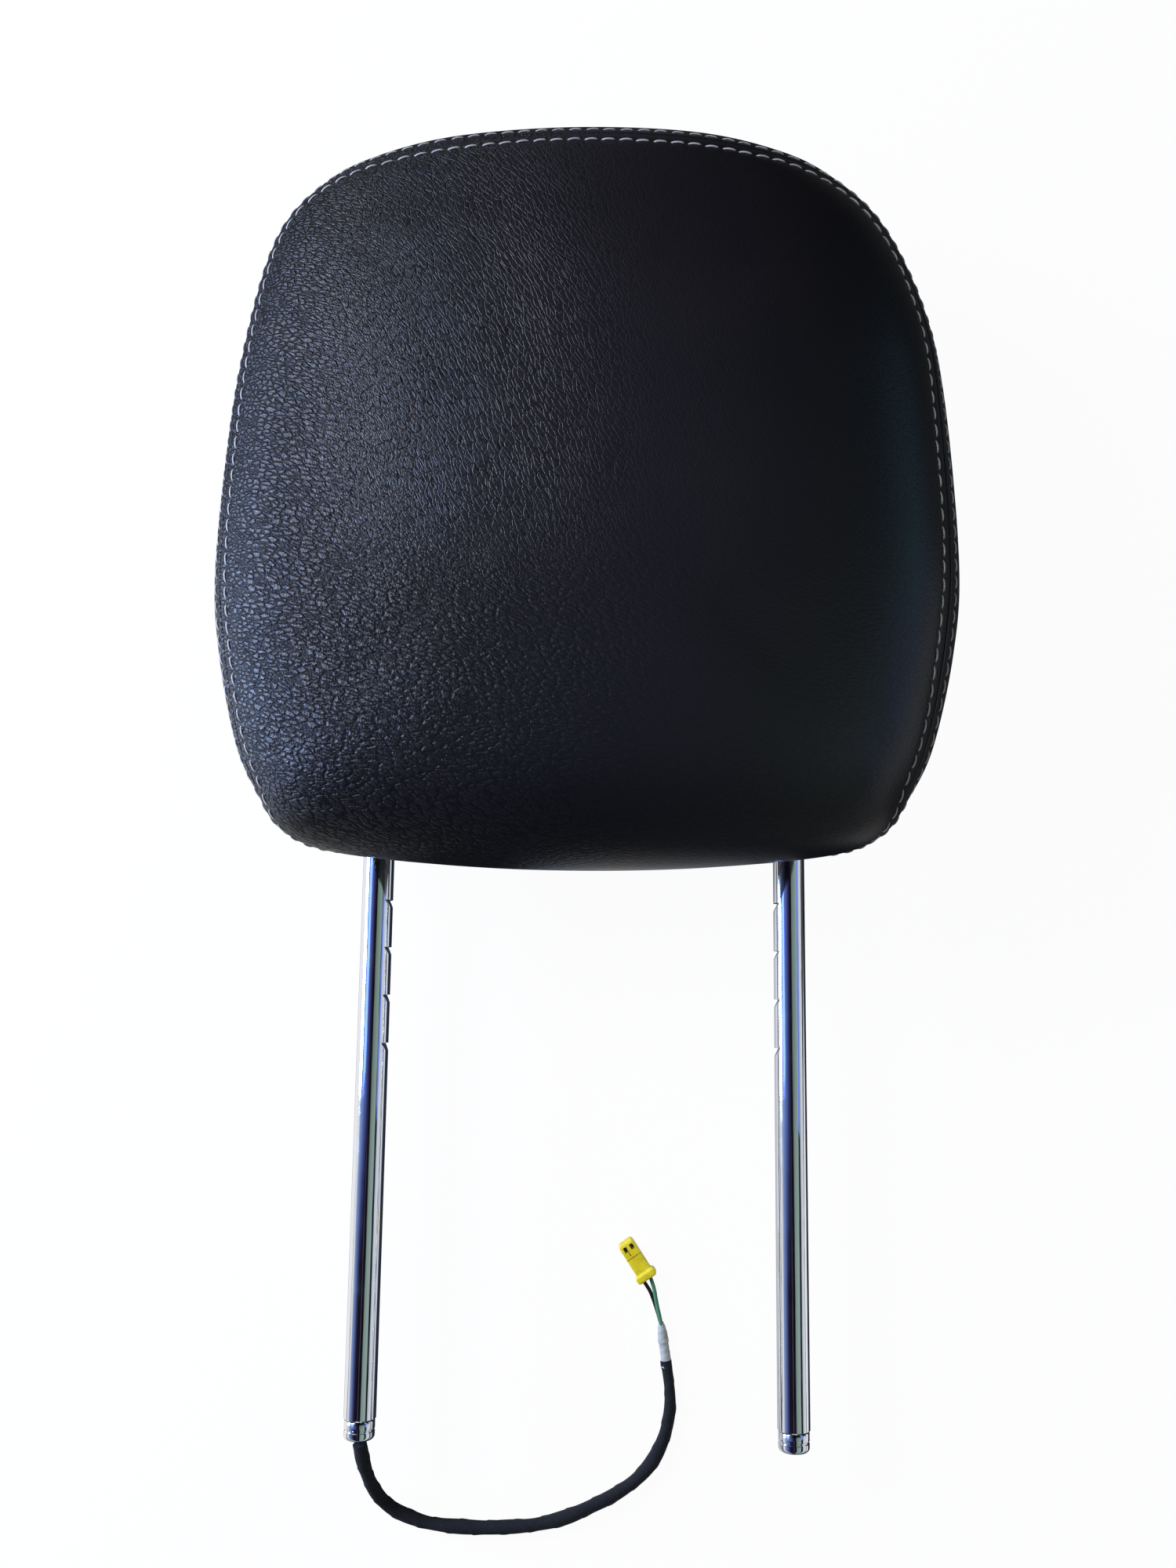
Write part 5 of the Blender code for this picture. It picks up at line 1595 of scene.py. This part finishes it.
@dataclass
class Lead:
    """The taped loom from the left post, its white sleeve, two wires and a small connector."""

    finishes: Mapping[Slot, bpy.types.Material]
    diameter: float = 0.0052
    route: tuple[Place, ...] = (
        (-0.0797, -0.2500, 0.0276), (-0.0789, -0.2570, 0.0246), (-0.0777, -0.2664, 0.0165),
        (-0.0750, -0.2746, 0.0090), (-0.0695, -0.2806, 0.0046), (-0.0600, -0.2846, 0.0030),
        (-0.0510, -0.2860, 0.0028), (-0.0380, -0.2864, 0.0028), (-0.0285, -0.2860, 0.0028),
        (-0.0164, -0.2848, 0.0028), (-0.0046, -0.2818, 0.0028), (0.0052, -0.2776, 0.0028),
        (0.0146, -0.2728, 0.0028), (0.0232, -0.2666, 0.0028), (0.0292, -0.2594, 0.0028),
        (0.0330, -0.2512, 0.0028), (0.0348, -0.2432, 0.0028), (0.0350, -0.2362, 0.0028),
        (0.0342, -0.2294, 0.0028), (0.0334, -0.2239, 0.0028),
    )
    sleeve_route: tuple[Place, ...] = (
        (0.03345, -0.22650, 0.0027), (0.03335, -0.22306, 0.0026), (0.03283, -0.21983, 0.0025),
        (0.03248, -0.21753, 0.0024), (0.03208, -0.21429, 0.0023), (0.03173, -0.21198, 0.0023),
        (0.03145, -0.20990, 0.0024),
    )
    green_route: tuple[Place, ...] = (
        (0.03235, -0.21650, 0.0030), (0.03200, -0.21350, 0.0031), (0.03148, -0.21050, 0.0033),
        (0.03094, -0.20773, 0.0034), (0.03014, -0.20448, 0.0034), (0.02945, -0.20123, 0.0033),
        (0.02885, -0.19797, 0.0032), (0.02800, -0.19518, 0.0031), (0.02706, -0.19285, 0.0031),
        (0.02600, -0.19145, 0.0031),
    )
    black_route: tuple[Place, ...] = (
        (0.03235, -0.21650, 0.0016), (0.03195, -0.21350, 0.0016), (0.03134, -0.21068, 0.0016),
        (0.03045, -0.20744, 0.0016), (0.02936, -0.20420, 0.0016), (0.02827, -0.20118, 0.0018),
        (0.02709, -0.19840, 0.0023), (0.02581, -0.19632, 0.0028), (0.02472, -0.19470, 0.0031),
        (0.02360, -0.19325, 0.0031),
    )
    wire_radius: float = 0.00075
    # distance along the sleeve and its radius: tape over the loom, a lapped edge, the thin tip
    sleeve_profile: tuple[Pair, ...] = (
        (0.0, 0.00195), (0.0070, 0.00190), (0.0088, 0.00185), (0.0092, 0.00212), (0.0108, 0.00200),
        (0.0130, 0.00182), (0.0148, 0.00150), (0.0160, 0.00112), (0.0168, 0.00094),
    )
    tape_pitch: float = 0.0105
    loom_length: float = field(init=False)

    def __post_init__(self) -> None:
        """Measure the loom's route."""
        self.loom_length = length_of(smooth_curve(self.route))

    def sleeve_radius(self, along: float, turn: float) -> float:
        """The sleeve's radius: round on the loom, and narrow and upright round the wires."""
        places, radii = zip(*self.sleeve_profile)
        radius = float(np.interp(along, places, radii))
        upright = min(1.0, max(0.0, (along - 0.011) / 0.005))
        wrinkle = 0.00005 * sin(along * 2600 + 2 * turn)
        return radius * (1 + 0.45 * upright * sin(turn) ** 2) + wrinkle

    def make_sleeve(self) -> bpy.types.Object:
        """Make the white tape sleeve where the wires leave the loom."""
        curve = smooth_curve(self.sleeve_route)
        line = even_steps(curve, int(length_of(curve) / 0.0003))
        return tube("white_sleeve", line, self.sleeve_radius, self.finishes[Slot.WHITE_TAPE],
                    sides=32)

    def make_wire(self, name: str, route: Sequence[Sequence[float]],
                  slot: Slot) -> bpy.types.Object:
        """Make one insulated wire.

        Args:
            name: the piece's name.
            route: the points it passes, from the sleeve to the connector.
            slot: its finish.

        Returns:
            The wire.
        """
        curve = smooth_curve(route)
        line = even_steps(curve, int(length_of(curve) / 0.0005))
        return tube(name, line, lambda along, turn: self.wire_radius, self.finishes[slot],
                    sides=20)

    def loom_radius(self, along: float, turn: float) -> float:
        """The loom's radius, with a ridge where each turn of tape overlaps the last."""
        near_end = max(0.0, 1 - (self.loom_length - along) / 0.030)
        phase = (along / self.tape_pitch + turn / tau) % 1.0
        ridge = 0.00022 * max(0.0, 1 - phase / 0.25) ** 0.5
        lumps = 0.00012 * sin(along * 310) + 0.00010 * sin(along * 170 + 2 * turn)
        return self.diameter / 2 - 0.00012 + ridge + lumps - 0.00050 * near_end

    def build(self) -> bpy.types.Object:
        """Returns:
            The loom.
        """
        curve = smooth_curve(self.route)
        line = even_steps(curve, int(length_of(curve) / 0.0011))
        loom = tube("taped_loom", line, self.loom_radius, self.finishes[Slot.LOOM], sides=28)
        attach(loom, Body.REAR, Slot.LOOM, "loom")
        sleeve = self.make_sleeve()
        green = self.make_wire("green_lead", self.green_route, Slot.GREEN_WIRE)
        black = self.make_wire("black_lead", self.black_route, Slot.BLACK_WIRE)
        for piece, node, slot in ((sleeve, "tape_sleeve", Slot.WHITE_TAPE),
                                  (green, "green_wire", Slot.GREEN_WIRE),
                                  (black, "black_wire", Slot.BLACK_WIRE)):
            attach(piece, Body.REAR, slot, node)
        on_it = [sleeve, green, black, *Connector(self.finishes).build()]
        return loom


# ---------------------------------------------------------------- studio


@dataclass(frozen=True)
class Lamp:
    """One soft lamp: where it stands, its power in watts and its hex colour."""

    name: str
    place: Place
    power: float
    colour: str


@dataclass
class Studio:
    """Camera, floor and light for the picture."""

    place: Place = (0.0306, -0.0867, 0.5761)
    side: float = 3.0
    tilt: float = 8.7
    roll: float = 0.7
    lens: float = 32.4
    floor_size: float = 6.0
    lamp_size: Pair = (0.45, 0.30)
    lamp_aim: Place = (-0.05, 0.08, 0.09)
    lamps: tuple[Lamp, ...] = (
        Lamp("window", (-0.73, 0.35, 0.70), 8.7, "#F1F3FF"),
        Lamp("low_window", (-0.73, 0.05, 0.70), 1.3, "#5C7CFF"),
        Lamp("rim_window", (-0.936, 0.05, 0.255), 15.0, "#A2C4FF"),
        Lamp("far_door", (0.95, 0.40, 0.64), 0.45, "#8FD3F4"),
        Lamp("far_window", (0.95, 0.0, 0.64), 0.40, "#7C90E8"),
    )

    def make_camera(self) -> None:
        """Make the camera at the photograph's place and angle."""
        data = bpy.data.cameras.new("camera")
        data.lens = self.lens
        data.sensor_width = 36.0
        data.clip_start = 0.01
        camera = bpy.data.objects.new("camera", data)
        camera.matrix_world = (
            Matrix.Translation(self.place)
            @ Matrix.Rotation(radians(self.side), 4, "Y")
            @ Matrix.Rotation(radians(self.tilt), 4, "X")
            @ Matrix.Rotation(radians(self.roll), 4, "Z")
        )
        bpy.context.scene.collection.objects.link(camera)
        bpy.context.scene.camera = camera

    def make_floor(self) -> None:
        """Make the pale floor. The camera sees it almost white, with the shadow kept. In reflections
        it glows with painted light and painted shade.
        """
        work = bmesh.new()
        bmesh.ops.create_grid(work, x_segments=1, y_segments=1, size=self.floor_size / 2)
        paper = bpy.data.materials.new("paper floor")
        paper.use_nodes = True
        tree = paper.node_tree
        shader = tree.nodes["Principled BSDF"]
        shader.inputs["Base Color"].default_value = linear("#F2F2F2")
        shader.inputs["Roughness"].default_value = 0.9
        shader.inputs["Specular IOR Level"].default_value = 0.0
        path = add_node(tree, "LightPath")
        place = add_node(tree, "TexCoord").outputs["Object"]
        x, y, _ = add_node(tree, "SeparateXYZ", {0: place}).outputs
        # painted light: in reflections the floor glows, brightest in a band under the posts that
        # reaches higher on the left, and dimly beyond it
        near = spread(tree, y, (-0.36, -0.28))
        far = spread(tree, maths(tree, "MULTIPLY_ADD", x, 0.5, y), (0.02, -0.04))
        painted_light_pool = spread(tree, maths(tree, "MULTIPLY", near, far), end=(0.06, 1.0))
        camera, glossy = path.outputs["Is Camera Ray"], path.outputs["Is Glossy Ray"]
        power = maths(tree, "MAXIMUM", camera, painted_light_pool)
        share = maths(tree, "MULTIPLY", maths(tree, "MAXIMUM", camera, glossy), 0.96)
        # painted shade and painted light: reflected close to the posts, the sheet shows dark bands
        # beside each post and bright bands between and beyond them
        painted_reflection_bands = add_node(tree, "ValToRGB", {0: spread(tree, x, (-0.2, 0.2))}, stops=(
            (0.0, "#FFFFFF"), (0.235, "#FFFFFF"), (0.25, "#40424E"), (0.28, "#12131C"),
            (0.43, "#12131C"), (0.47, "#C6D2E8"), (0.52, "#FFFFFF"), (0.57, "#E4E6EC"),
            (0.675, "#B4B8C4"), (0.69, "#12131C"), (0.84, "#12131C"), (0.86, "#C6D2E8"),
            (0.89, "#FFFFFF"),
        ))
        colour = tinted(tree, camera, painted_reflection_bands.outputs[0], "#FFFFFF")
        # the floor's glow: plain white to the camera, and painted light and painted shade in
        # reflections
        white = add_node(tree, "Emission", {"Color": colour, "Strength": power})
        mixed = add_node(tree, "MixShader", {0: share, 1: shader.outputs[0],
                                             2: white.outputs[0]})
        tree.links.new(mixed.outputs[0], tree.nodes["Material Output"].inputs["Surface"])
        floor = finished("floor", work, paper)

    def make_world(self) -> None:
        """Make the surroundings: a bright window side, a dim ceiling and a green-grey far side."""
        world = bpy.data.worlds.new("studio")
        bpy.context.scene.world = world
        world.use_nodes = True
        tree = world.node_tree
        tree.nodes.clear()
        way = add_node(tree, "TexCoord").outputs["Generated"]
        x, y, z = add_node(tree, "SeparateXYZ", {0: way}).outputs
        share = spread(tree, maths(tree, "ARCTAN2", x, z), (-pi, pi))

        def at(degrees: float) -> float:
            """The ramp's place for a direction, from left (-90) over the top to right (90)."""
            return (degrees + 180) / 360

        near = add_node(tree, "ValToRGB", {0: share}, stops=(
            (0.0, "#FFFFFF"), (at(-76), "#FFFFFF"), (at(-68), "#93ACE0"), (at(-50), "#6074AE"),
            (at(-36), "#303054"), (at(-27), "#1F1829"), (at(-8), "#17121D"), (at(-5), "#5A5870"),
            (at(-2), "#17121D"), (at(12), "#120F18"), (at(18), "#8FA69C"), (at(46), "#A9BDB6"),
            (at(51), "#131722"), (at(61), "#131722"), (at(68), "#DCE8F4"), (at(95), "#FFFFFF"),
        ))
        above = add_node(tree, "ValToRGB", {0: share}, stops=(
            (0.0, "#FFFFFF"), (at(-76), "#FFFFFF"), (at(-68), "#9FBBF0"), (at(-44), "#7590D6"),
            (at(-22), "#4C589C"), (at(-10), "#2F2A54"), (at(0), "#17131F"), (at(8), "#0C0C14"),
            (at(15), "#7C9489"), (at(46), "#9DB2A9"), (at(51), "#131722"), (at(61), "#131722"),
            (at(68), "#DCE8F4"), (at(95), "#FFFFFF"),
        ))
        far = add_node(tree, "ValToRGB", {0: share}, stops=(
            (0.0, "#FFFFFF"), (at(-80), "#FFFFFF"), (at(-62), "#D4DEF4"), (at(-46), "#8E9DBE"),
            (at(-32), "#5E6680"), (at(-18), "#2C2C34"), (at(-4), "#0C0B0D"), (at(40), "#050506"),
            (at(62), "#0E1112"), (at(80), "#15191B"), (at(100), "#1C2022"),
        ))
        ahead = spread(tree, y, (-0.20, -0.02), ease="SMOOTHSTEP")
        beyond = spread(tree, y, (0.10, 0.30), ease="SMOOTHSTEP")
        room = tinted(tree, ahead, near.outputs[0], above.outputs[0])
        room = tinted(tree, beyond, room, far.outputs[0])
        path = add_node(tree, "LightPath")
        reflected = add_node(tree, "Background", {"Color": room, "Strength": 0.85})
        plain = add_node(tree, "Background", {"Color": linear("#F4F6FA"), "Strength": 0.30})
        white = add_node(tree, "Background", {"Color": linear("#FFFFFF"), "Strength": 1.0})
        lit = add_node(tree, "MixShader", {0: path.outputs["Is Glossy Ray"], 1: plain.outputs[0],
                                           2: reflected.outputs[0]})
        seen = add_node(tree, "MixShader", {0: path.outputs["Is Camera Ray"], 1: lit.outputs[0],
                                            2: white.outputs[0]})
        out = add_node(tree, "OutputWorld")
        tree.links.new(seen.outputs[0], out.inputs["Surface"])

    def make_lamp(self, lamp: Lamp) -> None:
        """Make one soft lamp that points at the cushion."""
        data = bpy.data.lights.new(lamp.name, "AREA")
        data.shape = "RECTANGLE"
        data.size, data.size_y = self.lamp_size
        data.energy = lamp.power
        data.color = linear(lamp.colour)[:3]
        made = bpy.data.objects.new(lamp.name, data)
        place = Vector(lamp.place)
        turn = (Vector(self.lamp_aim) - place).to_track_quat("-Z", "Y").to_matrix().to_4x4()
        made.matrix_world = Matrix.Translation(place) @ turn
        bpy.context.scene.collection.objects.link(made)

    def build(self) -> None:
        """Make everything round the object."""
        self.make_floor()
        self.make_world()
        for lamp in self.lamps:
            self.make_lamp(lamp)
        bpy.context.scene.view_settings.view_transform = "Standard"


def dress_nodes(nodes: Mapping[str, bpy.types.Object], record: Mapping[str, object],
                finishes: Mapping[Slot, bpy.types.Material]) -> None:
    """Give each CAD node that stays in sight the finish of its slot.

    Args:
        nodes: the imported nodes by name.
        record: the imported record.
        finishes: the materials by slot.
    """
    for row in record["subparts"]:
        mesh = nodes[row["node"]].data
        mesh.materials.clear()
        mesh.materials.append(finishes[Slot(row["material_slot"])])


def main() -> None:
    """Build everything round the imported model, in order."""
    logging.basicConfig(level=logging.INFO, format="%(name)s: %(message)s")
    for old in list(bpy.data.objects):
        bpy.data.objects.remove(old, do_unlink=True)
    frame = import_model()
    finishes = {slot: finish.make() for slot, finish in FINISHES.items()}
    thread = THREAD.make()
    studio = Studio()
    studio.make_camera()
    dress_nodes(frame["nodes"], frame["record"], finishes)
    log.info("lead: %s", Lead(finishes).build().name)
    form = CushionForm()
    cover = SewnCover(form, finishes[Slot.LEATHER], thread)
    for piece in cover.build():
        log.info("cover: %s, %d faces", piece.name, len(piece.data.polygons))
    log.info("foam: %s", FoamPad(form, finishes[Slot.FOAM]).build().name)
    for name, side in (("left_tube", -1), ("right_tube", 1)):
        piece = Post(name, side, finishes[Slot.CHROME]).build()
        log.info("post: %s, %d faces", piece.name, len(piece.data.polygons))
    for piece in PostEnds(finishes[Slot.CHROME]).build():
        log.info("post end: %s", piece.name)
    for piece in [*Collars(finishes[Slot.SHELL]).build(),
                  *DriveSprings(finishes[Slot.SPRING]).build()]:
        log.info("rear unit: %s, %d faces", piece.name, len(piece.data.polygons))
    studio.build()


if __name__ == "__main__":
    main()
